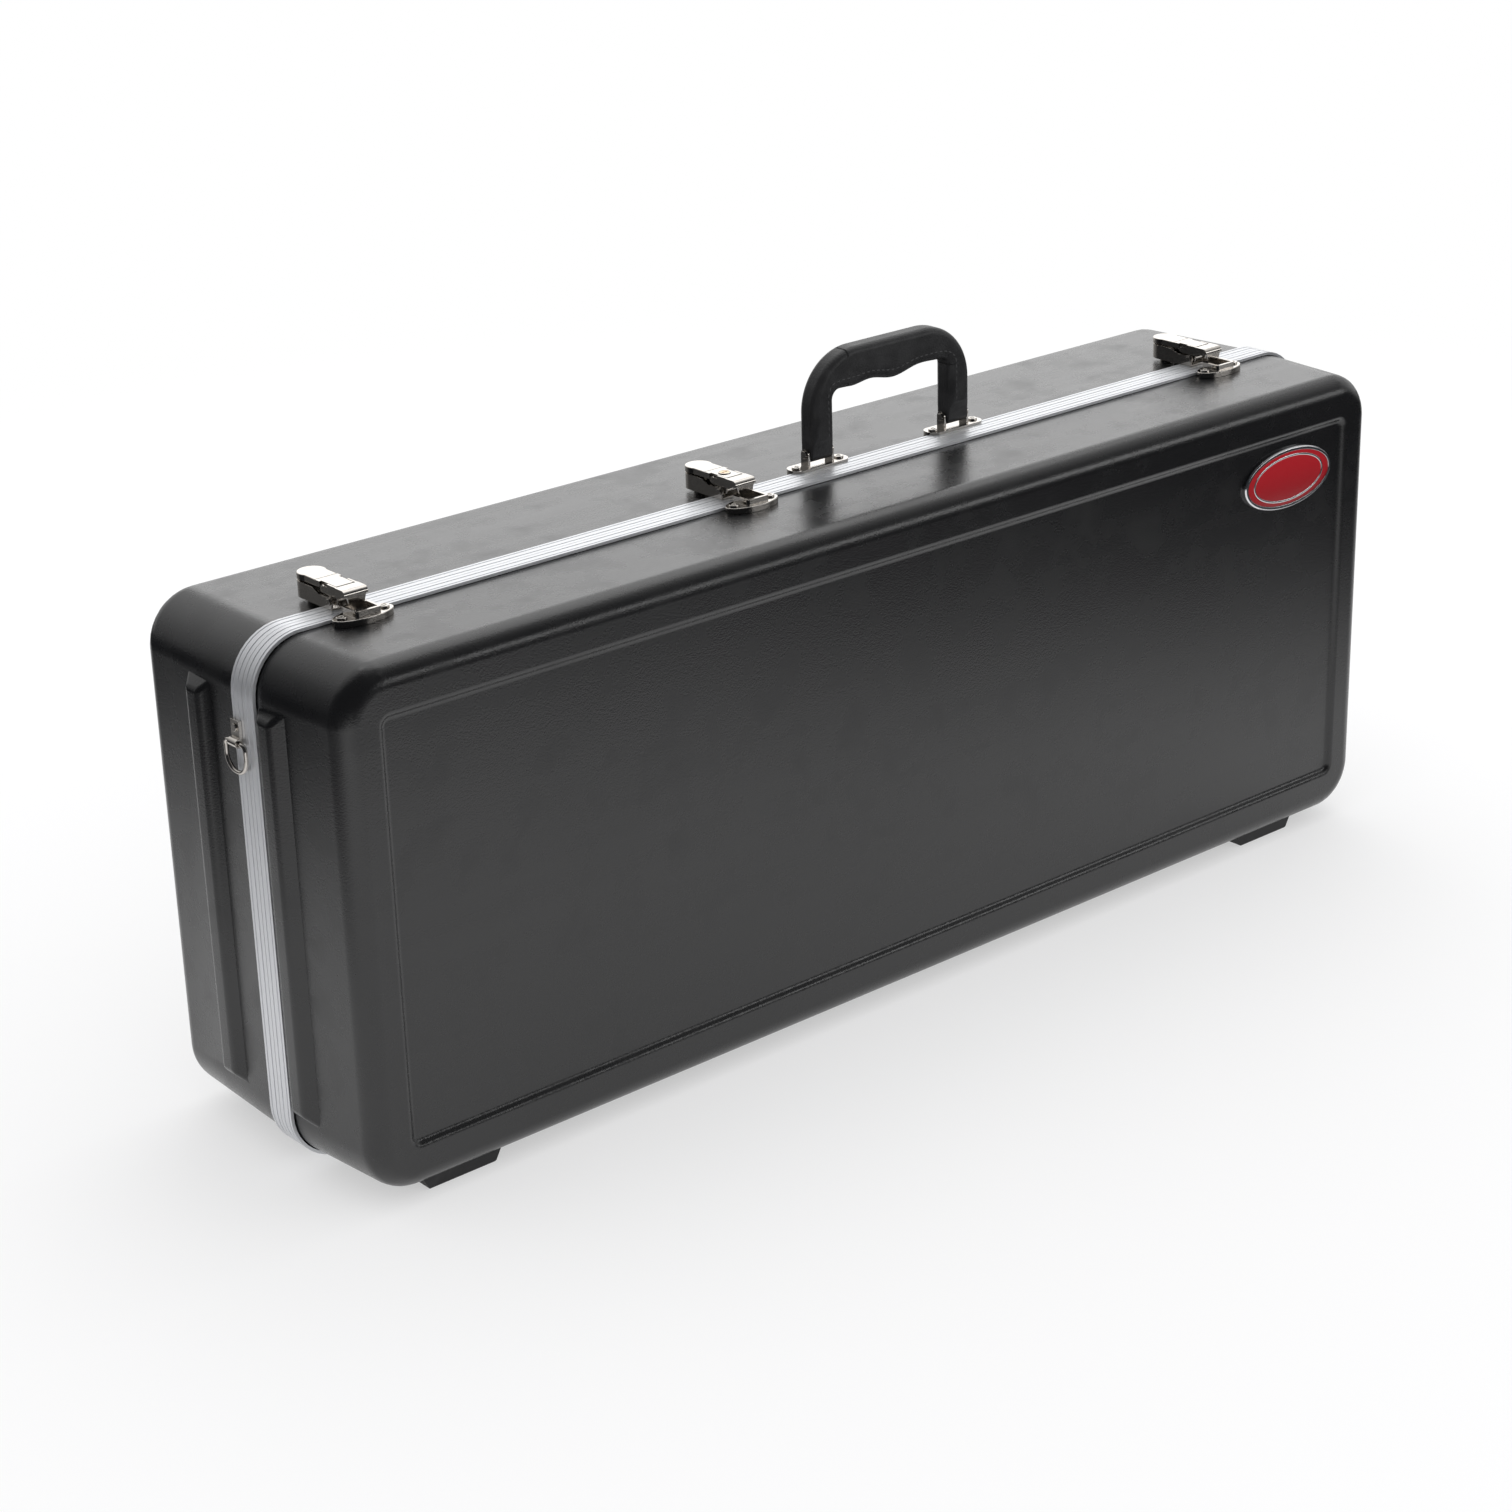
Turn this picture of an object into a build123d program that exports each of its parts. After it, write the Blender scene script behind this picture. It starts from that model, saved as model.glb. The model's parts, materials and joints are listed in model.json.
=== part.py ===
from build123d import *
import math
import os

os.makedirs("parts", exist_ok=True)

# Hard case for a tenor saxophone, standing on its long side with the handle up.
# X runs along the case, Z is up. The lid is on the -Y side of the seam, the base on the +Y side.
# The origin is the middle of the rectangle that the case covers, at the soles of the feet.
# Distances called "out" are measured from the seam: positive into the base, negative into the lid.

# Overall sizes, in millimetres
case_length = 860.0
case_height = 324.0
lid_depth = 85.0
base_depth = 115.0
ground_clearance = 6.0

# Thermoformed shells
wall = 3.0
lid_end_draft = 6.0
lid_side_draft = 1.2
base_end_draft = 3.0
base_side_draft = 1.8
face_round = 14.0
panel_length = 794.0
panel_height = 262.0
panel_recess = 3.0
panel_corner = 7.0
rib_length = 240.0
rib_crest_width = 12.0
rib_height = 4.5
lid_rib_out = -22.0
base_rib_out = 51.0

# Aluminium valance, one extrusion bent round each shell
valance_width = 11.0
valance_proud = 2.0
valance_web = 2.0
valance_corner = 34.0
valance_lip = 6.5
valance_lip_depth = 5.0
bead_width = 0.9
bead_depth = 0.35
bead_outs = (3.4, 8.2)
tongue_thickness = 2.0
tongue_length = 2.4
tongue_inset = 5.5
groove_clearance = 0.6
seam_gap = 0.3

# Clearances
seat_gap = 0.1
moving_gap = 0.4
pin_gap = 0.05

# Feet
foot_centres = (-357.0, 340.0)
foot_length = 58.0
foot_sole_length = 46.0
foot_width = 20.0
foot_face_setback = 11.0
foot_round = 2.0
foot_rivet_pitch = 26.0
foot_sink_radius = 3.8
foot_sink = 5.0

# Hinges along the bottom of the seam
hinge_centres = (-290.0, 0.0, 290.0)
hinge_length = 60.0
hinge_leaf_width = 11.0
hinge_sheet = 1.2
knuckle_radius = 2.2
hinge_pin_radius = 1.0
knuckle_count = 5
knuckle_gap = 0.3
hinge_rivet_pitch = 36.0
hinge_rivet_out = 7.6
hinge_lift = 0.2
hinge_pin_head = 0.9

# Draw latches
latch_centres = (-359.0, -77.0, 343.0)
latch_names = ("left", "centre", "right")
latch_sheet = 1.2
latch_plate_width = 18.0
latch_plate_front = 0.5
latch_plate_back = 31.5
latch_plate_wall = 9.5
latch_plate_front_wall = 7.1
latch_plate_slope = (13.0, 19.0)
latch_rivet_outs = (19.6, 31.0)
latch_boss_radius = 4.5
latch_ear_radius = 2.8
lever_top = 14.0
lever_pivot_out = 2.5
lever_pivot_height = 5.0
lever_front_out = -1.0
lever_step_out = 18.0
lever_shoulder_out = 13.5
lever_neck_width = 11.6
lever_lip = 4.5
tab_out = 32.5
lever_width = 15.0
lever_cheek_inner = 4.6
lever_cheek_drop = 6.4
lever_cheek_back = 16.0
lever_cheek_step = 2.0
lever_eye_radius = 2.6
lever_groove = 0.5
tab_radius = 8.5
lever_skirt = 3.6
latch_pin_radius = 1.25
latch_pin_head_radius = 2.0
latch_pin_head_height = 0.9
claw_pivot_out = 11.0
claw_pivot_height = 10.4
claw_eye_radius = 2.2
claw_slit = 1.2
claw_nose_out = -12.0
claw_nose_width = 12.6
claw_nose_tip = 10.0
claw_width = 15.6
claw_arm_inner = 6.2
claw_arm_drop = 5.2
claw_arm_step = 6.2
claw_arm_neck = 1.7
claw_nose_clear = 5.6
claw_bend = 3.0
claw_arm_front = 3.6
claw_pin_tail = 0.4

# Catches on the lid
catch_length = 39.0
catch_width = 18.0
catch_out = -17.0
catch_sheet = 1.4
catch_frame_length = 17.0
catch_frame_front = -23.6
catch_frame_back = -8.8
catch_frame_wall = 1.8
catch_frame_height = 5.2
catch_rivet_pitch = 28.0

# Key lock in the middle lever
lock_out = 8.0
lock_barrel_radius = 3.9
lock_barrel_length = 7.4
lock_plug_radius = 3.1
lock_proud = 0.5
keyway_width = 0.9
keyway_length = 4.2
keyway_depth = 3.0
cam_length = 7.2
cam_width = 3.4
cam_sheet = 1.1
cam_top = 6.1
cam_square = 2.2
keeper_out = 14.1
keeper_width = 3.0
keeper_height = 7.9

# Handle and its plates
handle_centre = 61.5
handle_width = 134.5
handle_rise = 72.0
handle_depth = 15.0
handle_leg = 17.5
handle_corner = 38.0
handle_edge_round = 4.5
handle_inner_corner = 6.0
grip_under_right = 49.2
grip_under_left = 47.2
finger_points = ((22.0, 49.4), (1.5, 45.6), (-17.0, 48.4), (-31.0, 46.8))
handle_out = 13.0
handle_plate_length = 46.0
handle_plate_width = 14.0
handle_plate_sheet = 1.5
handle_pivot_height = 9.0
handle_end_depth = 10.6
handle_taper_start = 14.0
handle_taper_end = 38.0
handle_plate_corner = 6.4
handle_rivet_pitch = 35.0
handle_pin_radius = 1.6
ear_sheet = 1.6
ear_width = 7.0
ear_gap = 0.35
pin_head_radius = 2.4
pin_head_height = 0.9

# Strap rings at the two ends
ring_out = 6.9
ring_height = 268.5
ring_wire = 1.3
ring_width = 20.0
ring_drop = 17.6
ring_corner = 3.5
ring_bow = 9.2
clip_width = 8.4
clip_sheet = 1.0
clip_rise = 13.0
clip_rivet_rise = 8.5
clip_gap = 0.35

# Rivets
rivet_shank = 1.6
rivet_head = 3.2
rivet_head_height = 1.1
rivet_tail = 1.0
rivet_tail_radius = 2.4
rivet_room_ease = 1.0
rivet_dome = 0.5
small_rivet = 0.75

# Badge in the upper right of the lid's panel
badge_x = 340.0
badge_height = 268.0
badge_length = 87.0
badge_width = 42.0
badge_thickness = 2.6
badge_rim = 2.6
badge_face_sink = 0.6
badge_edge = 0.8

# Moulded inserts
insert_gap = 0.4
insert_setback = 5.5
insert_floor = 9.0
insert_edge_round = 5.0
pocket_corner = 40.0
body_channel_length = 720.0
body_channel_width = 104.0
body_channel_rise = 78.0
body_channel_depth = 84.0
bow_length = 440.0
bow_width = 150.0
bow_x = -170.0
bow_rise = -45.0
bell_radius = 84.0
bell_x = 20.0
bell_rise = -48.0
tray_length = 240.0
tray_width = 118.0
tray_x = 258.0
tray_rise = -70.0
tray_depth = 70.0
tray_corner = 12.0
lid_channel_depth = 34.0
lid_bell_depth = 52.0

# Places that follow from the sizes above
seam_y = (lid_depth - base_depth) / 2
centre_z = ground_clearance + case_height / 2
band_top = centre_z + case_height / 2
band_bottom = centre_z - case_height / 2
band_end = case_length / 2
shell_length = case_length - 2 * valance_proud
shell_height = case_height - 2 * valance_proud
shell_corner = valance_corner - valance_proud
hinge_z = band_bottom - knuckle_radius - hinge_lift
bevel_growth = math.tan(math.radians(22.5))

LID = -1
BASE = 1


def depth_of(side):
    return lid_depth if side == LID else base_depth


def seam_plane(side, distance):
    """Plane parallel to the seam, at a distance from it into the lid or the base."""
    return Plane(
        origin=(0, seam_y + side * distance, centre_z), x_dir=(1, 0, 0), z_dir=(0, side, 0)
    )


def save(builder, name):
    """Label a finished piece and write it out."""
    builder.part.label = name
    export_step(builder.part, f"parts/{name}.step")


def rounded_outline(inset):
    """The shell's outline at the seam, drawn in by an inset."""
    RectangleRounded(shell_length - 2 * inset, shell_height - 2 * inset, shell_corner - inset)


def shell_form(side, inset):
    """One drafted shell as a solid, drawn in by an inset: outside at 0, inside at the wall."""
    depth = depth_of(side)
    end_draft = lid_end_draft if side == LID else base_end_draft
    side_draft = lid_side_draft if side == LID else base_side_draft
    rib_out = lid_rib_out if side == LID else base_rib_out
    rim_y = seam_y + side * valance_web
    face_y = seam_y + side * (depth - inset)
    rim_x = shell_length / 2 - inset
    rim_z = shell_height / 2 - inset
    with BuildPart() as form:
        with BuildSketch(Plane.XY.offset(centre_z)):
            Polygon(
                (-rim_x, rim_y),
                (rim_x, rim_y),
                (rim_x - end_draft, face_y),
                (end_draft - rim_x, face_y),
                align=None,
            )
        extrude(amount=shell_height, both=True)
        with BuildSketch(Plane.YZ):
            Polygon(
                (rim_y, centre_z - rim_z),
                (rim_y, centre_z + rim_z),
                (face_y, centre_z + rim_z - side_draft),
                (face_y, centre_z - rim_z + side_draft),
                align=None,
            )
        extrude(amount=shell_length, both=True, mode=Mode.INTERSECT)
        corners = form.edges().filter_by(lambda edge: abs((edge % 0.5).Y) > 0.9)
        fillet(corners, shell_corner - inset)
        face = form.faces().filter_by(Axis.Y).sort_by(Axis.Y)[0 if side == LID else -1]
        fillet(face.edges(), face_round - inset)
        # The raised ribs, one up each end wall, with walls at 45 degrees
        for end in (-1, 1):
            crest_x = band_end + rib_height - valance_proud - inset
            root_x = crest_x - 2 * rib_height
            for x, grow in ((crest_x, 0.0), (root_x, 2 * rib_height)):
                half = grow - inset * bevel_growth
                with BuildSketch(
                    Plane(
                        origin=(end * x, seam_y + rib_out, centre_z),
                        x_dir=(0, 1, 0),
                        z_dir=(end, 0, 0),
                    )
                ):
                    Rectangle(rib_crest_width + 2 * half, rib_length + 2 * half)
            loft()
        # The shallow recess of the face panel, with a 45 degree step
        for level, grow in ((inset, 0.0), (inset + panel_recess, -panel_recess)):
            step = grow + inset * bevel_growth
            with BuildSketch(seam_plane(side, depth - level)):
                RectangleRounded(
                    panel_length + 2 * step, panel_height + 2 * step, panel_corner + step
                )
        loft(mode=Mode.SUBTRACT)
    return form.part


def surface_drop(side, out):
    """How far the shell's long sides lie inside the band's outer face, at a distance out."""
    draft = lid_side_draft if side == LID else base_side_draft
    run = (abs(out) - valance_web) / (depth_of(side) - valance_web)
    return valance_proud + draft * run


def valance(side):
    """One bent extrusion: outer flange with fine beads, web over the shell's edge, solid inner lip."""
    start = seam_gap / 2
    end_draft = lid_end_draft if side == LID else base_end_draft
    lip_inset = wall + seat_gap + end_draft * valance_lip_depth / depth_of(side)
    with BuildPart() as ring:
        with BuildSketch(seam_plane(side, start)):
            rounded_outline(-valance_proud)
            RectangleRounded(
                shell_length - 2 * (lip_inset + valance_lip),
                shell_height - 2 * (lip_inset + valance_lip),
                shell_corner - lip_inset - valance_lip,
                mode=Mode.SUBTRACT,
            )
        extrude(amount=valance_width - start)
        with BuildSketch(seam_plane(side, valance_web - seat_gap)):
            rounded_outline(-seat_gap)
            RectangleRounded(
                shell_length - 2 * lip_inset,
                shell_height - 2 * lip_inset,
                shell_corner - lip_inset,
                mode=Mode.SUBTRACT,
            )
        extrude(amount=valance_width, mode=Mode.SUBTRACT)
        with BuildSketch(seam_plane(side, valance_lip_depth)):
            rounded_outline(-seat_gap)
        extrude(amount=valance_width, mode=Mode.SUBTRACT)
        for bead in bead_outs:
            with BuildSketch(seam_plane(side, bead)):
                rounded_outline(-valance_proud - 1)
                RectangleRounded(
                    shell_length + 2 * (valance_proud - bead_depth),
                    shell_height + 2 * (valance_proud - bead_depth),
                    shell_corner + valance_proud - bead_depth,
                    mode=Mode.SUBTRACT,
                )
            extrude(amount=bead_width, mode=Mode.SUBTRACT)
        # The base's tongue reaches into the groove of the lid
        spare = groove_clearance if side == LID else 0.0
        root = tongue_inset - spare
        tip = tongue_inset + tongue_thickness + spare
        if side == BASE:
            tongue_start = -tongue_length
            run = tongue_length + valance_web
            change = Mode.ADD
        else:
            tongue_start = 0.0
            run = tongue_length + groove_clearance
            change = Mode.SUBTRACT
        with BuildSketch(seam_plane(side, tongue_start)):
            rounded_outline(root)
            RectangleRounded(
                shell_length - 2 * tip, shell_height - 2 * tip, shell_corner - tip, mode=Mode.SUBTRACT
            )
        extrude(amount=run, mode=change)
    return ring.part


def rivet(seat, direction, grip, size=1.0):
    """Blind rivet: domed head, shank through the clamped sheets, swollen tail behind them.

    The seat is the point on the inner surface that the tail bears on.
    """
    head = rivet_head * size
    rise = rivet_head_height * size
    with BuildPart(Plane(origin=seat, z_dir=direction)) as body:
        with Locations((0, 0, -seat_gap)):
            Cylinder(
                rivet_shank * size,
                grip + 2 * seat_gap,
                align=(Align.CENTER, Align.CENTER, Align.MIN),
            )
            Cylinder(
                rivet_tail_radius * size, rivet_tail, align=(Align.CENTER, Align.CENTER, Align.MAX)
            )
        with Locations((0, 0, grip + seat_gap)):
            Cylinder(head, rise, align=(Align.CENTER, Align.CENTER, Align.MIN))
        top = body.edges().filter_by(GeomType.CIRCLE)
        far = max(top, key=lambda e: (e.center() - Vector(*seat)).dot(Vector(*direction)))
        fillet(far, rivet_dome * size)
    return body.part


def rivet_bore(seat, direction, grip, size=1.0):
    """The hole that a rivet passes through, longer than its grip at both ends."""
    with BuildPart(Plane(origin=seat, z_dir=direction)) as bore:
        with Locations((0, 0, -rivet_tail)):
            Cylinder(
                rivet_shank * size + seat_gap,
                grip + 2 * rivet_tail,
                align=(Align.CENTER, Align.CENTER, Align.MIN),
            )
    return bore.part


def rivet_room(seat, direction, grip, size=1.0):
    """Room for a rivet's tail in the moulded insert."""
    with BuildPart(Plane(origin=seat, z_dir=direction)) as room:
        with Locations((0, 0, rivet_room_ease)):
            Cylinder(
                rivet_tail_radius + insert_gap,
                rivet_tail + insert_gap + 1.5 * rivet_room_ease,
                align=(Align.CENTER, Align.CENTER, Align.MAX),
            )
    return room.part


def rivet_group(places, name):
    """All the rivets of one kind, saved as one piece."""
    with BuildPart() as group:
        for place in places:
            add(rivet(*place))
    save(group, name)


UP = (0, 0, 1)
DOWN = (0, 0, -1)


def top_seat(side, x, out):
    """Point on the inside of the shell's top wall."""
    return (x, seam_y + out, band_top - surface_drop(side, out) - wall)


def bottom_seat(side, x, out):
    """Point on the inside of the shell's bottom wall."""
    return (x, seam_y + out, band_bottom + surface_drop(side, out) + wall)


# Where every rivet goes: inner seat, outward direction, grip from there to the underside of the head
plate_stack = seat_gap + latch_sheet
hinge_rivets = {}
foot_rivets = {}
for side in (LID, BASE):
    hinge_rivets[side] = [
        (
            bottom_seat(side, x + step * hinge_rivet_pitch / 2, side * hinge_rivet_out),
            DOWN,
            wall + surface_drop(side, hinge_rivet_out) + seat_gap + hinge_sheet,
        )
        for x in hinge_centres
        for step in (-1, 1)
    ]
    foot_out = side * (depth_of(side) - foot_face_setback - foot_width / 2)
    foot_rivets[side] = [
        (
            bottom_seat(side, x + step * foot_rivet_pitch / 2, foot_out),
            DOWN,
            wall + surface_drop(side, foot_out) + band_bottom - foot_sink,
        )
        for x in foot_centres
        for step in (-1, 1)
    ]
latch_rivets = [
    (top_seat(BASE, x, out), UP, wall + surface_drop(BASE, out) + plate_stack)
    for x in latch_centres
    for out in latch_rivet_outs
]
catch_rivets = [
    (
        top_seat(LID, x + step * catch_rivet_pitch / 2, catch_out),
        UP,
        wall + surface_drop(LID, catch_out) + seat_gap + catch_sheet,
    )
    for x in latch_centres
    for step in (-1, 1)
]
handle_plate_centres = (
    handle_centre - (handle_width - handle_leg) / 2,
    handle_centre + (handle_width - handle_leg) / 2,
)
handle_rivets = [
    (
        top_seat(BASE, x + step * handle_rivet_pitch / 2, handle_out),
        UP,
        wall + surface_drop(BASE, handle_out) + seat_gap + handle_plate_sheet,
    )
    for x in handle_plate_centres
    for step in (-1, 1)
]
end_drop = base_end_draft * ring_out / base_depth
end_inner = shell_length / 2 - wall - end_drop
strap_rivets = [
    (
        (end * end_inner, seam_y + ring_out, ring_height + clip_rivet_rise),
        (end, 0, 0),
        wall + end_drop + valance_proud + seat_gap + 2 * clip_sheet,
        small_rivet,
    )
    for end in (-1, 1)
]
lid_rivets = hinge_rivets[LID] + foot_rivets[LID] + catch_rivets
base_rivets = hinge_rivets[BASE] + foot_rivets[BASE] + latch_rivets + handle_rivets + strap_rivets

# Shells, each an outside form less an inside form
lid_outside = shell_form(LID, 0)
lid_inside = shell_form(LID, wall)
with BuildPart() as lid_shell:
    add(lid_outside)
    add(lid_inside, mode=Mode.SUBTRACT)
    for place in lid_rivets:
        add(rivet_bore(*place), mode=Mode.SUBTRACT)
save(lid_shell, "lid_shell")

base_outside = shell_form(BASE, 0)
base_inside = shell_form(BASE, wall)
with BuildPart() as base_shell:
    add(base_outside)
    add(base_inside, mode=Mode.SUBTRACT)
    for place in base_rivets:
        add(rivet_bore(*place), mode=Mode.SUBTRACT)
save(base_shell, "base_shell")

# Valances, drilled for the hinges and the strap clips
with BuildPart() as lid_valance:
    add(valance(LID))
    for place in hinge_rivets[LID]:
        add(rivet_bore(*place), mode=Mode.SUBTRACT)
save(lid_valance, "lid_valance")

with BuildPart() as base_valance:
    add(valance(BASE))
    for place in hinge_rivets[BASE] + strap_rivets:
        add(rivet_bore(*place), mode=Mode.SUBTRACT)
save(base_valance, "base_valance")


def insert_block(side):
    """The insert before its pockets: the shell's inside, a little smaller, up to the setback."""
    with BuildPart() as block:
        add(shell_form(side, wall + insert_gap))
        with BuildSketch(seam_plane(side, 0)):
            rounded_outline(-valance_proud)
        extrude(amount=insert_setback, mode=Mode.SUBTRACT)
    return block.part


def pocket_room(side, depth, corner, length, width, x, rise):
    """A rounded pocket going down from the insert's top, with a soft bottom edge."""
    with BuildPart() as room:
        with BuildSketch(seam_plane(side, insert_setback)):
            with Locations((x, -side * rise)):
                RectangleRounded(length, width, corner)
        extrude(amount=depth)
        floor = room.faces().filter_by(Axis.Y).sort_by(Axis.Y)[0 if side == LID else -1]
        fillet(floor.edges(), insert_edge_round)
    return room.part


def bell_room(side, depth):
    """The round pocket for the bell."""
    with BuildPart() as room:
        with BuildSketch(seam_plane(side, insert_setback)):
            with Locations((bell_x, -side * bell_rise)):
                Circle(bell_radius)
        extrude(amount=depth)
        floor = room.faces().filter_by(Axis.Y).sort_by(Axis.Y)[0 if side == LID else -1]
        fillet(floor.edges(), insert_edge_round)
    return room.part


bell_depth = base_depth - wall - panel_recess - insert_gap - insert_setback - insert_floor
with BuildPart() as base_insert:
    add(insert_block(BASE))
    add(
        pocket_room(
            BASE,
            body_channel_depth,
            pocket_corner,
            body_channel_length,
            body_channel_width,
            0,
            body_channel_rise,
        ),
        mode=Mode.SUBTRACT,
    )
    add(
        pocket_room(BASE, bell_depth, pocket_corner, bow_length, bow_width, bow_x, bow_rise),
        mode=Mode.SUBTRACT,
    )
    add(bell_room(BASE, bell_depth), mode=Mode.SUBTRACT)
    add(
        pocket_room(BASE, tray_depth, tray_corner, tray_length, tray_width, tray_x, tray_rise),
        mode=Mode.SUBTRACT,
    )
    for place in base_rivets:
        add(rivet_room(*place), mode=Mode.SUBTRACT)
save(base_insert, "base_insert")

with BuildPart() as lid_insert:
    add(insert_block(LID))
    add(
        pocket_room(
            LID,
            lid_channel_depth,
            pocket_corner,
            body_channel_length,
            body_channel_width,
            0,
            body_channel_rise,
        ),
        mode=Mode.SUBTRACT,
    )
    add(
        pocket_room(LID, lid_channel_depth, pocket_corner, bow_length, bow_width, bow_x, bow_rise),
        mode=Mode.SUBTRACT,
    )
    add(bell_room(LID, lid_bell_depth), mode=Mode.SUBTRACT)
    for place in lid_rivets:
        add(rivet_room(*place), mode=Mode.SUBTRACT)
save(lid_insert, "lid_insert")


def foot(side, x):
    """One foot: bevelled ends, a rounded sole, and a top that follows the shell."""
    out = side * (depth_of(side) - foot_face_setback - foot_width / 2)
    tall = band_bottom + surface_drop(side, out) + 2
    with BuildPart() as block:
        with BuildSketch(Plane(origin=(x, seam_y + out, 0), x_dir=(1, 0, 0), z_dir=(0, 0, 1))):
            Rectangle(foot_sole_length, foot_width)
        with BuildSketch(Plane(origin=(x, seam_y + out, tall), x_dir=(1, 0, 0), z_dir=(0, 0, 1))):
            Rectangle(foot_length, foot_width)
        loft()
        fillet(block.faces().sort_by(Axis.Z)[0].edges(), foot_round)
        with BuildSketch(Plane(origin=(x, 0, 0), x_dir=(0, 1, 0), z_dir=(1, 0, 0))):
            near = out - foot_width
            far = out + foot_width
            Polygon(
                (seam_y + near, band_bottom + surface_drop(side, near) - seat_gap),
                (seam_y + far, band_bottom + surface_drop(side, far) - seat_gap),
                (seam_y + far, 2 * tall),
                (seam_y + near, 2 * tall),
                align=None,
            )
        extrude(amount=foot_length, both=True, mode=Mode.SUBTRACT)
        for step in (-1, 1):
            with Locations((x + step * foot_rivet_pitch / 2, seam_y + out, 0)):
                Cylinder(
                    foot_sink_radius,
                    foot_sink,
                    align=(Align.CENTER, Align.CENTER, Align.MIN),
                    mode=Mode.SUBTRACT,
                )
                Cylinder(rivet_shank + seat_gap, 4 * tall, mode=Mode.SUBTRACT)
    return block


for side, shell_name in ((LID, "lid"), (BASE, "base")):
    for x, place_name in zip(foot_centres, ("left", "right")):
        save(foot(side, x), f"{shell_name}_foot_{place_name}")
rivet_group(foot_rivets[LID], "lid_foot_rivets")
rivet_group(foot_rivets[BASE], "base_foot_rivets")


def hinge_leaf(side, x):
    """One leaf with its share of the five knuckles."""
    start = x - hinge_length / 2
    pitch = hinge_length / knuckle_count
    leaf_top = band_bottom - seat_gap
    first = 1 if side == BASE else 0
    with BuildPart() as leaf:
        with BuildSketch(Plane(origin=(start, seam_y, 0), x_dir=(0, 1, 0), z_dir=(1, 0, 0))):
            with Locations((side * hinge_leaf_width / 2, leaf_top - hinge_sheet / 2)):
                Rectangle(hinge_leaf_width, hinge_sheet)
            with Locations((0, hinge_z)):
                Circle(knuckle_radius)
        extrude(amount=hinge_length)
        reach = knuckle_radius + knuckle_gap
        for i in range(first, knuckle_count, 2):
            with Locations((start + (i + 0.5) * pitch, seam_y, hinge_z)):
                Box(pitch + knuckle_gap, 2 * reach, 3 * reach, mode=Mode.SUBTRACT)
        with Locations((x, seam_y, hinge_z)):
            Cylinder(
                hinge_pin_radius + pin_gap, 2 * hinge_length, rotation=(0, 90, 0), mode=Mode.SUBTRACT
            )
        for place in hinge_rivets[side]:
            add(rivet_bore(*place), mode=Mode.SUBTRACT)
    return leaf


for x, place_name in zip(hinge_centres, latch_names):
    save(hinge_leaf(LID, x), f"lid_hinge_leaf_{place_name}")
    save(hinge_leaf(BASE, x), f"base_hinge_leaf_{place_name}")
rivet_group(hinge_rivets[LID], "lid_hinge_rivets")
rivet_group(hinge_rivets[BASE], "base_hinge_rivets")

with BuildPart() as hinge_pins:
    for x in hinge_centres:
        with Locations((x, seam_y, hinge_z)):
            Cylinder(hinge_pin_radius, hinge_length, rotation=(0, 90, 0))
        for end in (-1, 1):
            with Locations((x + end * (hinge_length + hinge_pin_head) / 2, seam_y, hinge_z)):
                Cylinder(2 * hinge_pin_radius, hinge_pin_head, rotation=(0, 90, 0))
save(hinge_pins, "hinge_pins")


def cross_plane(x):
    """Plane across the case at a place along it: local x is +Y from the seam, local y is up."""
    return Plane(origin=(x, seam_y, band_top), x_dir=(0, 1, 0), z_dir=(1, 0, 0))


def level_plane(x, height):
    """Level plane above the band: local x along the case, local y out from the seam."""
    return Plane(origin=(x, seam_y, band_top + height), x_dir=(1, 0, 0), z_dir=(0, 0, 1))


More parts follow.
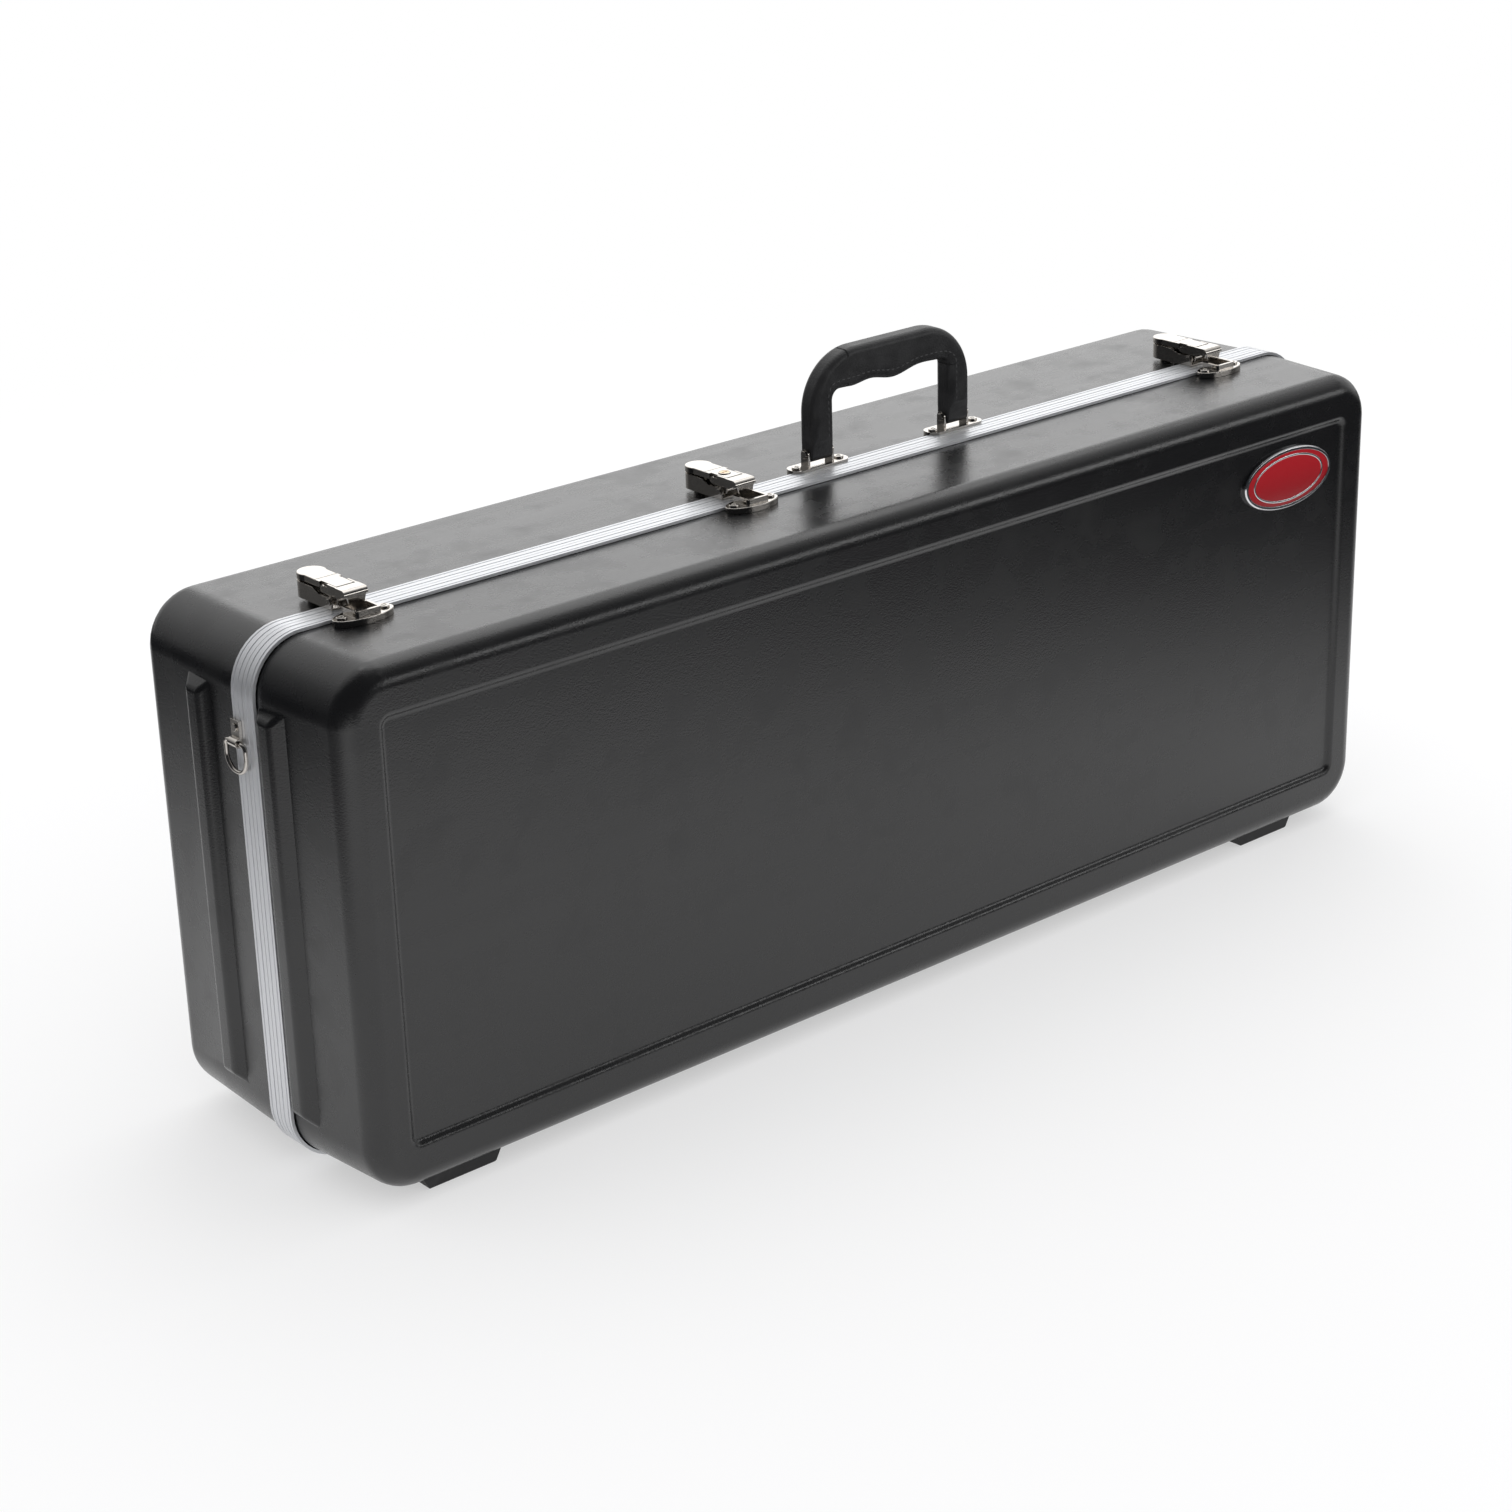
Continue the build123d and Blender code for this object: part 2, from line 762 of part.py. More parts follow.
def latch_plate(x, keeper):
    """The pressed tray that carries a lever, standing on two raised feet round its rivets."""
    half = latch_plate_width / 2
    pin = (lever_pivot_out, lever_pivot_height)
    with BuildPart() as plate:
        with BuildSketch(level_plane(x, seat_gap)):
            with Locations((0, (latch_plate_front + latch_plate_back) / 2)):
                Rectangle(latch_plate_width, latch_plate_back - latch_plate_front)
            with Locations((0, latch_plate_back)):
                Circle(half)
        extrude(amount=latch_plate_wall)
        with BuildSketch(level_plane(x, seat_gap + latch_sheet)):
            with Locations((0, latch_plate_back / 2)):
                Rectangle(latch_plate_width - 2 * latch_sheet, latch_plate_back)
            with Locations((0, latch_plate_back)):
                Circle(half - latch_sheet)
        extrude(amount=latch_plate_wall, mode=Mode.SUBTRACT)
        with BuildSketch(cross_plane(x)):
            Polygon(
                (-half, latch_plate_front_wall),
                (latch_plate_slope[0], latch_plate_front_wall),
                (latch_plate_slope[1], latch_plate_wall + seat_gap),
                (latch_plate_slope[1], 2 * latch_plate_wall),
                (-half, 2 * latch_plate_wall),
                align=None,
            )
        extrude(amount=half, both=True, mode=Mode.SUBTRACT)
        for end in (-1, 1):
            with BuildSketch(cross_plane(x + end * half)):
                with Locations(pin):
                    Circle(latch_ear_radius)
            extrude(amount=-end * latch_sheet)
        for out in latch_rivet_outs:
            with BuildSketch(level_plane(x, seat_gap - surface_drop(BASE, out - latch_boss_radius))):
                with Locations((0, out)):
                    Circle(latch_boss_radius)
            extrude(amount=surface_drop(BASE, out) + latch_sheet)
        if keeper:
            # The hook that the lock's cam turns under
            base_height = seat_gap + latch_sheet
            with BuildSketch(level_plane(x, base_height)):
                with Locations((-(cam_width / 2 + latch_sheet / 2 + knuckle_gap), keeper_out)):
                    Rectangle(latch_sheet, keeper_width)
            extrude(amount=keeper_height - base_height)
            with BuildSketch(level_plane(x, keeper_height - latch_sheet)):
                with Locations((-knuckle_gap / 2 - latch_sheet / 2, keeper_out)):
                    Rectangle(cam_width + latch_sheet + knuckle_gap, keeper_width)
            extrude(amount=latch_sheet)
        with Locations(Plane(origin=(x, seam_y + pin[0], band_top + pin[1]), z_dir=(1, 0, 0))):
            Cylinder(latch_pin_radius + pin_gap, 2 * latch_plate_width, mode=Mode.SUBTRACT)
        for place in latch_rivets:
            add(rivet_bore(*place), mode=Mode.SUBTRACT)
    return plate


def latch_lever(x, locked):
    """A pressed lever: neck, skirted shank and round tab on top, two cheeks down to the pin."""
    half = lever_width / 2
    cheek_outer = lever_neck_width / 2
    cheek = cheek_outer - lever_cheek_inner
    pin = (lever_pivot_out, lever_pivot_height)
    claw_pin = (claw_pivot_out, claw_pivot_height)
    under = lever_top - latch_sheet
    low = lever_top - lever_skirt
    with BuildPart() as lever:
        with BuildSketch(level_plane(x, low)):
            with Locations((0, (lever_shoulder_out + tab_out) / 2)):
                Rectangle(lever_width, tab_out - lever_shoulder_out)
            with Locations((0, tab_out)):
                Circle(tab_radius)
        extrude(amount=lever_skirt)
        with BuildSketch(level_plane(x, low)):
            with Locations((0, (lever_shoulder_out + latch_sheet + tab_out) / 2)):
                Rectangle(
                    lever_width - 2 * latch_sheet, tab_out - lever_shoulder_out - latch_sheet
                )
            with Locations((0, tab_out)):
                Circle(tab_radius - latch_sheet)
        extrude(amount=under - low, mode=Mode.SUBTRACT)
        with BuildSketch(level_plane(x, under)):
            with Locations((0, (lever_front_out + lever_shoulder_out) / 2)):
                Rectangle(lever_neck_width, lever_shoulder_out - lever_front_out)
        extrude(amount=latch_sheet)
        with BuildSketch(level_plane(x, lever_top - lever_lip)):
            with Locations((0, lever_front_out + latch_sheet / 2)):
                Rectangle(lever_neck_width, latch_sheet)
        extrude(amount=lever_lip)
        for end in (-1, 1):
            with BuildSketch(cross_plane(x + end * cheek_outer)):
                Polygon(
                    (lever_front_out, lever_top - lever_lip),
                    (lever_front_out, under),
                    (lever_cheek_back, under),
                    (lever_cheek_back, under - lever_cheek_step),
                    (claw_pivot_out + lever_cheek_step, under - lever_cheek_drop),
                    (lever_pivot_out + lever_eye_radius + latch_sheet, under - lever_cheek_drop),
                    (lever_pivot_out + lever_eye_radius, lever_pivot_height),
                    (lever_pivot_out - lever_eye_radius, lever_pivot_height),
                    align=None,
                )
                with Locations(pin):
                    Circle(lever_eye_radius)
            extrude(amount=-end * cheek)
        # The pressed line across the shank
        with BuildSketch(level_plane(x, lever_top - lever_groove)):
            with Locations((0, lever_step_out)):
                Rectangle(2 * lever_width, lever_groove)
        extrude(amount=lever_groove, mode=Mode.SUBTRACT)
        for point in (pin, claw_pin):
            with Locations(
                Plane(origin=(x, seam_y + point[0], band_top + point[1]), z_dir=(1, 0, 0))
            ):
                Cylinder(latch_pin_radius + pin_gap, 2 * latch_plate_width, mode=Mode.SUBTRACT)
        if locked:
            with BuildSketch(level_plane(x, under - latch_sheet)):
                with Locations((0, lock_out)):
                    Circle(lock_barrel_radius + pin_gap)
            extrude(amount=3 * latch_sheet, mode=Mode.SUBTRACT)
        top = lever.edges().group_by(Axis.Z)[-1]
        rim = top.filter_by_position(Axis.Y, seam_y + lever_step_out + 1, seam_y + base_depth)
        fillet(rim, lever_groove)
    return lever


def latch_claw(x):
    """The claw: a bridge with a nose in front and two arms back to the lever's cheeks."""
    arm_outer = claw_arm_inner + latch_sheet
    bridge_back = lever_front_out - claw_slit
    low = lever_top - latch_sheet - claw_arm_drop
    under = lever_top - latch_sheet
    with BuildPart() as claw:
        # The bridge bends down into the nose
        with BuildSketch(cross_plane(x)) as strip:
            Polygon(
                (bridge_back, lever_top),
                (claw_nose_out, lever_top),
                (claw_nose_out, claw_nose_clear),
                (claw_nose_out + latch_sheet, claw_nose_clear),
                (claw_nose_out + latch_sheet, under),
                (bridge_back, under),
                align=None,
            )
            outer_bend = strip.vertices().sort_by_distance((claw_nose_out, lever_top))[0]
            inner_bend = strip.vertices().sort_by_distance((claw_nose_out + latch_sheet, under))[0]
            fillet(outer_bend, claw_bend)
            fillet(inner_bend, claw_bend - latch_sheet)
        extrude(amount=claw_width / 2, both=True)
        with BuildSketch(
            Plane(
                origin=(x, seam_y + claw_nose_out, band_top), x_dir=(1, 0, 0), z_dir=(0, -1, 0)
            )
        ):
            for end in (-1, 1):
                Polygon(
                    (end * claw_width, lever_top - claw_arm_front),
                    (end * claw_nose_width / 2, lever_top - claw_arm_front),
                    (end * claw_nose_tip / 2, claw_nose_clear),
                    (end * claw_width, claw_nose_clear),
                    align=None,
                )
        extrude(amount=-latch_sheet - seat_gap, mode=Mode.SUBTRACT)
        for end in (-1, 1):
            with BuildSketch(cross_plane(x + end * arm_outer)) as arm:
                Polygon(
                    (claw_nose_out, lever_top - claw_arm_front),
                    (claw_nose_out, lever_top),
                    (claw_arm_step, lever_top),
                    (claw_arm_step, claw_pivot_height + claw_arm_neck),
                    (claw_pivot_out, claw_pivot_height + claw_arm_neck),
                    (claw_pivot_out, claw_pivot_height - claw_eye_radius),
                    (lever_pivot_out, low),
                    (lever_front_out - latch_sheet, low),
                    align=None,
                )
                corner = arm.vertices().sort_by_distance((claw_nose_out, lever_top))[0]
                fillet(corner, claw_bend)
                with Locations((claw_pivot_out, claw_pivot_height)):
                    Circle(claw_eye_radius)
            extrude(amount=-end * latch_sheet)
        with Locations(
            Plane(
                origin=(x, seam_y + claw_pivot_out, band_top + claw_pivot_height), z_dir=(1, 0, 0)
            )
        ):
            Cylinder(latch_pin_radius + pin_gap, 2 * latch_plate_width, mode=Mode.SUBTRACT)
    return claw


def catch(x):
    """A cast catch that fills the step between band and lid, with a framed pocket for the nose."""
    frame_out = (catch_frame_front + catch_frame_back) / 2
    frame_width = catch_frame_back - catch_frame_front
    deep = surface_drop(LID, catch_out - catch_width)
    edge = -valance_width - seat_gap
    near = catch_out + catch_width
    far = catch_out - catch_width
    with BuildPart() as puck:
        with BuildSketch(level_plane(x, -deep)):
            with Locations((0, catch_out)):
                Ellipse(catch_length / 2, catch_width / 2)
        extrude(amount=deep + seat_gap + catch_sheet)
        top = puck.faces().sort_by(Axis.Z)[-1]
        fillet(top.edges(), lever_groove)
        with BuildSketch(level_plane(x, 0)):
            with Locations((0, frame_out)):
                RectangleRounded(catch_frame_length, frame_width, catch_frame_wall)
        extrude(amount=catch_frame_height)
        with BuildSketch(level_plane(x, seat_gap + latch_sheet)):
            with Locations((0, frame_out)):
                Rectangle(
                    catch_frame_length - 2 * catch_frame_wall, frame_width - 2 * catch_frame_wall
                )
        extrude(amount=catch_frame_height, mode=Mode.SUBTRACT)
        with BuildSketch(cross_plane(x)):
            Polygon(
                (near, seat_gap),
                (edge, seat_gap),
                (edge, seat_gap - surface_drop(LID, edge)),
                (far, seat_gap - surface_drop(LID, far)),
                (far, -2 * deep),
                (near, -2 * deep),
                align=None,
            )
        extrude(amount=catch_length, both=True, mode=Mode.SUBTRACT)
        for place in catch_rivets:
            add(rivet_bore(*place), mode=Mode.SUBTRACT)
    return puck


with BuildPart() as lever_pins:
    for x in latch_centres:
        with Locations(
            Plane(
                origin=(x, seam_y + lever_pivot_out, band_top + lever_pivot_height), z_dir=(1, 0, 0)
            )
        ):
            Cylinder(latch_pin_radius, latch_plate_width)
        for end in (-1, 1):
            with Locations(
                Plane(
                    origin=(
                        x + end * (latch_plate_width / 2 + seat_gap),
                        seam_y + lever_pivot_out,
                        band_top + lever_pivot_height,
                    ),
                    z_dir=(end, 0, 0),
                )
            ):
                Cylinder(
                    latch_pin_head_radius,
                    latch_pin_head_height,
                    align=(Align.CENTER, Align.CENTER, Align.MIN),
                )
                Cylinder(latch_pin_radius, 2 * seat_gap)
save(lever_pins, "lever_pins")

for x, place_name in zip(latch_centres, latch_names):
    is_centre = place_name == "centre"
    save(latch_plate(x, is_centre), f"latch_plate_{place_name}")
    save(latch_lever(x, is_centre), f"lever_{place_name}")
    save(latch_claw(x), f"claw_{place_name}")
    save(catch(x), f"catch_{place_name}")
    with BuildPart() as claw_pins:
        for end in (-1, 1):
            with Locations(
                Plane(
                    origin=(
                        x + end * (lever_cheek_inner - seat_gap),
                        seam_y + claw_pivot_out,
                        band_top + claw_pivot_height,
                    ),
                    z_dir=(end, 0, 0),
                )
            ):
                Cylinder(
                    latch_pin_radius,
                    claw_arm_inner + latch_sheet + 2 * seat_gap - lever_cheek_inner,
                    align=(Align.CENTER, Align.CENTER, Align.MIN),
                )
                Cylinder(
                    latch_pin_radius + claw_pin_tail,
                    2 * claw_pin_tail,
                    align=(Align.CENTER, Align.CENTER, Align.MAX),
                )
    save(claw_pins, f"claw_pins_{place_name}")
rivet_group(latch_rivets, "latch_rivets")
rivet_group(catch_rivets, "catch_rivets")

# Key lock
lock_x = latch_centres[1]
with BuildPart() as lock_barrel:
    with BuildSketch(level_plane(lock_x, lever_top + lock_proud - lock_barrel_length)):
        with Locations((0, lock_out)):
            Circle(lock_barrel_radius)
            Circle(lock_plug_radius + pin_gap, mode=Mode.SUBTRACT)
    extrude(amount=lock_barrel_length)
save(lock_barrel, "lock_barrel")

plug_top = lever_top + lock_proud - seat_gap
with BuildPart() as lock_plug:
    with BuildSketch(level_plane(lock_x, cam_top + pin_gap)):
        with Locations((0, lock_out)):
            Circle(lock_plug_radius)
    extrude(amount=plug_top - cam_top - pin_gap)
    with BuildSketch(level_plane(lock_x, cam_top - cam_sheet)):
        with Locations((0, lock_out)):
            Rectangle(cam_square, cam_square)
    extrude(amount=cam_sheet + 2 * pin_gap)
    with BuildSketch(level_plane(lock_x, plug_top - keyway_depth)):
        with Locations((0, lock_out)):
            Rectangle(keyway_length, keyway_width)
    extrude(amount=keyway_depth, mode=Mode.SUBTRACT)
save(lock_plug, "lock_plug")

with BuildPart() as lock_cam:
    with BuildSketch(level_plane(lock_x, cam_top - cam_sheet)):
        with Locations((0, lock_out)):
            Circle(lock_plug_radius)
            Rectangle(cam_length, cam_width, align=(Align.MIN, Align.CENTER))
            Rectangle(cam_square + 2 * pin_gap, cam_square + 2 * pin_gap, mode=Mode.SUBTRACT)
    extrude(amount=cam_sheet)
save(lock_cam, "lock_cam")


# Handle: one moulding, drawn from the front and narrowed across the case towards its pins
handle_inner = handle_width / 2 - handle_leg
handle_foot = handle_pivot_height - handle_end_depth / 2
with BuildPart() as handle_grip:
    with BuildSketch(
        Plane(
            origin=(handle_centre, seam_y + handle_out + handle_depth / 2, band_top),
            x_dir=(1, 0, 0),
            z_dir=(0, -1, 0),
        )
    ):
        with BuildLine():
            half = handle_width / 2
            Line((-half, handle_foot), (-half, handle_rise - handle_corner))
            RadiusArc(
                (-half, handle_rise - handle_corner), (handle_corner - half, handle_rise), handle_corner
            )
            Line((handle_corner - half, handle_rise), (half - handle_corner, handle_rise))
            RadiusArc(
                (half - handle_corner, handle_rise), (half, handle_rise - handle_corner), handle_corner
            )
            Line((half, handle_rise - handle_corner), (half, handle_foot))
            Line((half, handle_foot), (handle_inner, handle_foot))
            right_start = (handle_inner, grip_under_right - handle_inner_corner)
            right_end = (handle_inner - handle_inner_corner, grip_under_right)
            left_start = (handle_inner_corner - handle_inner, grip_under_left)
            left_end = (-handle_inner, grip_under_left - handle_inner_corner)
            Line((handle_inner, handle_foot), right_start)
            RadiusArc(right_start, right_end, -handle_inner_corner)
            Spline(right_end, *finger_points, left_start, tangents=((-1, 0), (-1, 0)))
            RadiusArc(left_start, left_end, -handle_inner_corner)
            Line(left_end, (-handle_inner, handle_foot))
            Line((-handle_inner, handle_foot), (-half, handle_foot))
        make_face()
    extrude(amount=handle_depth)
    front = handle_grip.faces().filter_by(Axis.Y)
    above_foot = (band_top + handle_foot + 1, band_top + 2 * handle_rise)
    rim = front.edges().filter_by_position(Axis.Z, *above_foot)
    fillet(rim, handle_edge_round)
    with BuildSketch(
        Plane(
            origin=(handle_centre, seam_y + handle_out, band_top), x_dir=(0, 1, 0), z_dir=(1, 0, 0)
        )
    ):
        Polygon(
            (-handle_end_depth / 2, handle_pivot_height),
            (-handle_end_depth / 2, handle_taper_start),
            (-handle_depth, handle_taper_end),
            (-handle_depth, 2 * handle_rise),
            (handle_depth, 2 * handle_rise),
            (handle_depth, handle_taper_end),
            (handle_end_depth / 2, handle_taper_start),
            (handle_end_depth / 2, handle_pivot_height),
            align=None,
        )
        with Locations((0, handle_pivot_height)):
            Circle(handle_end_depth / 2)
    extrude(amount=handle_width, both=True, mode=Mode.INTERSECT)
    for x in handle_plate_centres:
        with Locations(
            Plane(
                origin=(x, seam_y + handle_out, band_top + handle_pivot_height), z_dir=(1, 0, 0)
            )
        ):
            Cylinder(handle_pin_radius + pin_gap, 2 * handle_leg, mode=Mode.SUBTRACT)
save(handle_grip, "handle_grip")


def handle_plate(x):
    """A plate stepped to sit on the band and the shell, with two ears for the handle's pin."""
    top = seat_gap + handle_plate_sheet
    near = handle_out - handle_plate_width / 2
    far = handle_out + handle_plate_width / 2
    edge = valance_width + seat_gap
    ear_inner = handle_leg / 2 + ear_gap
    with BuildPart() as plate:
        with BuildSketch(level_plane(x, -2 * valance_proud)):
            with Locations((0, handle_out)):
                RectangleRounded(handle_plate_length, handle_plate_width, handle_plate_corner)
        extrude(amount=2 * valance_proud + top)
        with BuildSketch(cross_plane(x)):
            Polygon(
                (near - 1, seat_gap),
                (edge, seat_gap),
                (edge, seat_gap - surface_drop(BASE, edge)),
                (far + 1, seat_gap - surface_drop(BASE, far + 1)),
                (far + 1, -3 * valance_proud),
                (near - 1, -3 * valance_proud),
                align=None,
            )
        extrude(amount=handle_plate_length, both=True, mode=Mode.SUBTRACT)
        for end in (-1, 1):
            with BuildSketch(cross_plane(x + end * ear_inner)):
                with Locations((handle_out, (top + handle_pivot_height) / 2 - seat_gap)):
                    Rectangle(ear_width, handle_pivot_height - top + 2 * seat_gap)
                with Locations((handle_out, handle_pivot_height)):
                    Circle(ear_width / 2)
            extrude(amount=end * ear_sheet)
        with Locations(
            Plane(
                origin=(x, seam_y + handle_out, band_top + handle_pivot_height), z_dir=(1, 0, 0)
            )
        ):
            Cylinder(handle_pin_radius + pin_gap, 2 * handle_leg, mode=Mode.SUBTRACT)
        for place in handle_rivets:
            add(rivet_bore(*place), mode=Mode.SUBTRACT)
    return plate


for x, place_name in zip(handle_plate_centres, ("left", "right")):
    save(handle_plate(x), f"handle_plate_{place_name}")
rivet_group(handle_rivets, "handle_rivets")

ear_outer = handle_leg / 2 + ear_gap + ear_sheet
with BuildPart() as handle_pins:
    for x in handle_plate_centres:
        with Locations(
            Plane(
                origin=(x, seam_y + handle_out, band_top + handle_pivot_height), z_dir=(1, 0, 0)
            )
        ):
            Cylinder(handle_pin_radius, 2 * ear_outer + 2 * seat_gap)
        for end in (-1, 1):
            with Locations(
                Plane(
                    origin=(
                        x + end * (ear_outer + seat_gap),
                        seam_y + handle_out,
                        band_top + handle_pivot_height,
                    ),
                    z_dir=(end, 0, 0),
                )
            ):
                Cylinder(
                    pin_head_radius,
                    pin_head_height,
                    align=(Align.CENTER, Align.CENTER, Align.MIN),
                )
save(handle_pins, "handle_pins")


# Strap rings and their clips
clip_outer = ring_wire + clip_gap + clip_sheet
ring_x = band_end + seat_gap + clip_outer


def strap_clip(end):
    """A folded strip: a loop round the ring's top bar and a doubled tail under the rivet."""
    with BuildPart() as clip:
        with BuildSketch(
            Plane(
                origin=(end * ring_x, seam_y + ring_out - clip_width / 2, ring_height),
                x_dir=(end, 0, 0),
                z_dir=(0, 1, 0),
            )
        ):
            up = -end
            Circle(clip_outer)
            with Locations((clip_sheet - clip_outer, up * clip_rise / 2)):
                Rectangle(2 * clip_sheet, clip_rise)
            Circle(ring_wire + clip_gap, mode=Mode.SUBTRACT)
        extrude(amount=clip_width)
        for place in strap_rivets:
            add(rivet_bore(*place), mode=Mode.SUBTRACT)
    return clip


for end, place_name in ((-1, "left"), (1, "right")):
    save(strap_clip(end), f"strap_clip_{place_name}")
    path_plane = Plane(
        origin=(end * ring_x, seam_y + ring_out, ring_height - ring_drop / 2),
        x_dir=(0, 1, 0),
        z_dir=(1, 0, 0),
    )
    with BuildSketch(path_plane) as loop:
        Rectangle(ring_width, ring_drop)
        fillet(loop.vertices().group_by(Axis.Y)[-1], ring_corner)
        fillet(loop.vertices().group_by(Axis.Y)[0], ring_bow)
    path = loop.sketch.wires()[0]
    with BuildPart() as ring:
        with BuildSketch(Plane(origin=path @ 0, z_dir=path % 0)):
            Circle(ring_wire)
        sweep(path=path)
    save(ring, f"strap_ring_{place_name}")
rivet_group(strap_rivets, "strap_rivets")

# Badge on the floor of the lid's panel
badge_floor = lid_depth - panel_recess + seat_gap
badge_at = (badge_x, badge_height - centre_z)
with BuildPart() as badge_rim_piece:
    with BuildSketch(seam_plane(LID, badge_floor)):
        with Locations(badge_at):
            Ellipse(badge_length / 2, badge_width / 2)
    extrude(amount=badge_thickness)
    chamfer(badge_rim_piece.faces().sort_by(Axis.Y)[0].edges(), badge_edge)
    with BuildSketch(seam_plane(LID, badge_floor + badge_edge)):
        with Locations(badge_at):
            Ellipse(badge_length / 2 - badge_rim, badge_width / 2 - badge_rim)
    extrude(amount=badge_thickness, mode=Mode.SUBTRACT)
save(badge_rim_piece, "badge_rim")

with BuildPart() as badge_dome_piece:
    with BuildSketch(seam_plane(LID, badge_floor + badge_edge + seat_gap)):
        with Locations(badge_at):
            Ellipse(badge_length / 2 - badge_rim - seat_gap, badge_width / 2 - badge_rim - seat_gap)
    extrude(amount=badge_thickness - badge_edge - seat_gap - badge_face_sink)
    fillet(badge_dome_piece.faces().sort_by(Axis.Y)[0].edges(), lever_groove)
save(badge_dome_piece, "badge_dome")
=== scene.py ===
import json
import math
import bmesh
import bpy
from mathutils import Matrix, Vector
from mathutils.bvhtree import BVHTree

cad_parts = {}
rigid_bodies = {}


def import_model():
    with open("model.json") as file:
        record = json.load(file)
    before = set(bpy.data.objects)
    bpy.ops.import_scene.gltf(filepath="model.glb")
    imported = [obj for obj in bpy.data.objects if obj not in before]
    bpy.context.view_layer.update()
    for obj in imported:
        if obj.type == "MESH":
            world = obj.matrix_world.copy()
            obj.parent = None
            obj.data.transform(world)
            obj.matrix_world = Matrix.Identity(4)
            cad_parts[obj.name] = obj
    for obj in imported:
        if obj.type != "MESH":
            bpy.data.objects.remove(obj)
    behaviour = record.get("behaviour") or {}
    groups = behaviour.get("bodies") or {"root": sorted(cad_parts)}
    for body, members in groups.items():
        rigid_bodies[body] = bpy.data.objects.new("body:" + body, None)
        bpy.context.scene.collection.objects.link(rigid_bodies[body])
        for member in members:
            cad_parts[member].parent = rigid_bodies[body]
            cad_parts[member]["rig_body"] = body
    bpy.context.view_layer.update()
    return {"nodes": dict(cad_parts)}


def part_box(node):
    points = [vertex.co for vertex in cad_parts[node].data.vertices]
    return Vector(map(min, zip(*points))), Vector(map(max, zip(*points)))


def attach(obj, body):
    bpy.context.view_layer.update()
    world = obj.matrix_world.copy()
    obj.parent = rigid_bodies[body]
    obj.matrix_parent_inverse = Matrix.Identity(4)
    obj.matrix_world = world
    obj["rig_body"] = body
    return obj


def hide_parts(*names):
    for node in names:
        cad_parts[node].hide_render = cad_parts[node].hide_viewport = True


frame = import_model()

bpy.context.scene.view_settings.view_transform = "Standard"
MM = 0.001


# Shells. The lid and the base are thermoformed from black sheet with a pebbled leather grain,
# their corners rounded in the mould, a shallow recess in each large face and a rib up each end.
# Each shell is riveted into its aluminium valance.

class Field:
    """A shader socket that takes part in Python arithmetic. Each operation adds one Math node."""

    def __init__(self, finish, socket):
        self.finish = finish
        self.socket = socket

    def math(self, operation, first, second):
        return self.finish.node("ShaderNodeMath", {"operation": operation}, {0: first, 1: second})

    def __add__(self, other):
        return self.math("ADD", self, other)

    def __radd__(self, other):
        return self.math("ADD", other, self)

    def __rsub__(self, other):
        return self.math("SUBTRACT", other, self)

    def __mul__(self, other):
        return self.math("MULTIPLY", self, other)

    def __truediv__(self, other):
        return self.math("DIVIDE", self, other)

    def ramp(self, low, high):
        """0 below low, 1 above high, and smooth between them."""
        return self.finish.node(
            "ShaderNodeMapRange",
            {"interpolation_type": "SMOOTHSTEP"},
            {"Value": self, "From Min": low, "From Max": high},
        )


class Finish:
    """One shader, built node by node, in a new material or in a world."""

    def __init__(self, name, world=None):
        self.material = world or bpy.data.materials.new(name)
        self.material.use_nodes = True
        self.tree = self.material.node_tree
        self.tree.nodes.clear()

    def node(self, kind, settings=None, inputs=None, output=0):
        made = self.tree.nodes.new(kind)
        for key, value in (settings or {}).items():
            setattr(made, key, value)
        for key, value in (inputs or {}).items():
            if isinstance(value, Field):
                self.tree.links.new(value.socket, made.inputs[key])
            else:
                made.inputs[key].default_value = value
        return Field(self, made.outputs[output])

    def place(self, scale=(1.0, 1.0, 1.0), offset=(0.0, 0.0, 0.0)):
        """Object coordinates in metres, stretched and shifted."""
        raw = self.node("ShaderNodeTexCoord", output=3)
        return self.node(
            "ShaderNodeMapping", {}, {"Vector": raw, "Scale": scale, "Location": offset}
        )

    def noise(self, where, scale, detail=3.0, roughness=0.5):
        return self.node(
            "ShaderNodeTexNoise",
            {},
            {"Vector": where, "Scale": scale, "Detail": detail, "Roughness": roughness},
        )

    def cells(self, where, scale):
        """The height of close-packed pebbles."""
        return self.node(
            "ShaderNodeTexVoronoi",
            {"feature": "SMOOTH_F1"},
            {"Vector": where, "Scale": scale, "Smoothness": 0.6},
        )

    def mix(self, factor, first, second):
        """Colours blended by a value."""
        return self.node(
            "ShaderNodeMix",
            {"data_type": "RGBA"},
            {0: factor, 6: first, 7: second},
            output=2,
        )

    def axes(self, where):
        """The X, Y and Z of a place."""
        return [
            self.node("ShaderNodeSeparateXYZ", {}, {"Vector": where}, output=axis)
            for axis in range(3)
        ]

    def bump(self, height, depth, strength):
        """Relief of a depth in metres."""
        return self.node(
            "ShaderNodeBump", {}, {"Height": height, "Distance": depth, "Strength": strength}
        )

    def close(self, shader, output="ShaderNodeOutputMaterial"):
        """The finished shader, joined to the output."""
        end = self.tree.nodes.new(output)
        self.tree.links.new(shader.socket, end.inputs["Surface"])
        return self.material

    def surface(self, **sockets):
        """The closing shader. An underscore in a socket's name stands for a space."""
        shader = self.node(
            "ShaderNodeBsdfPrincipled",
            {},
            {name.replace("_", " "): value for name, value in sockets.items()},
        )
        return self.close(shader)


flat_angle = math.radians(0.2)
join_distance = 0.002 * MM
sliver_width = 0.001 * MM


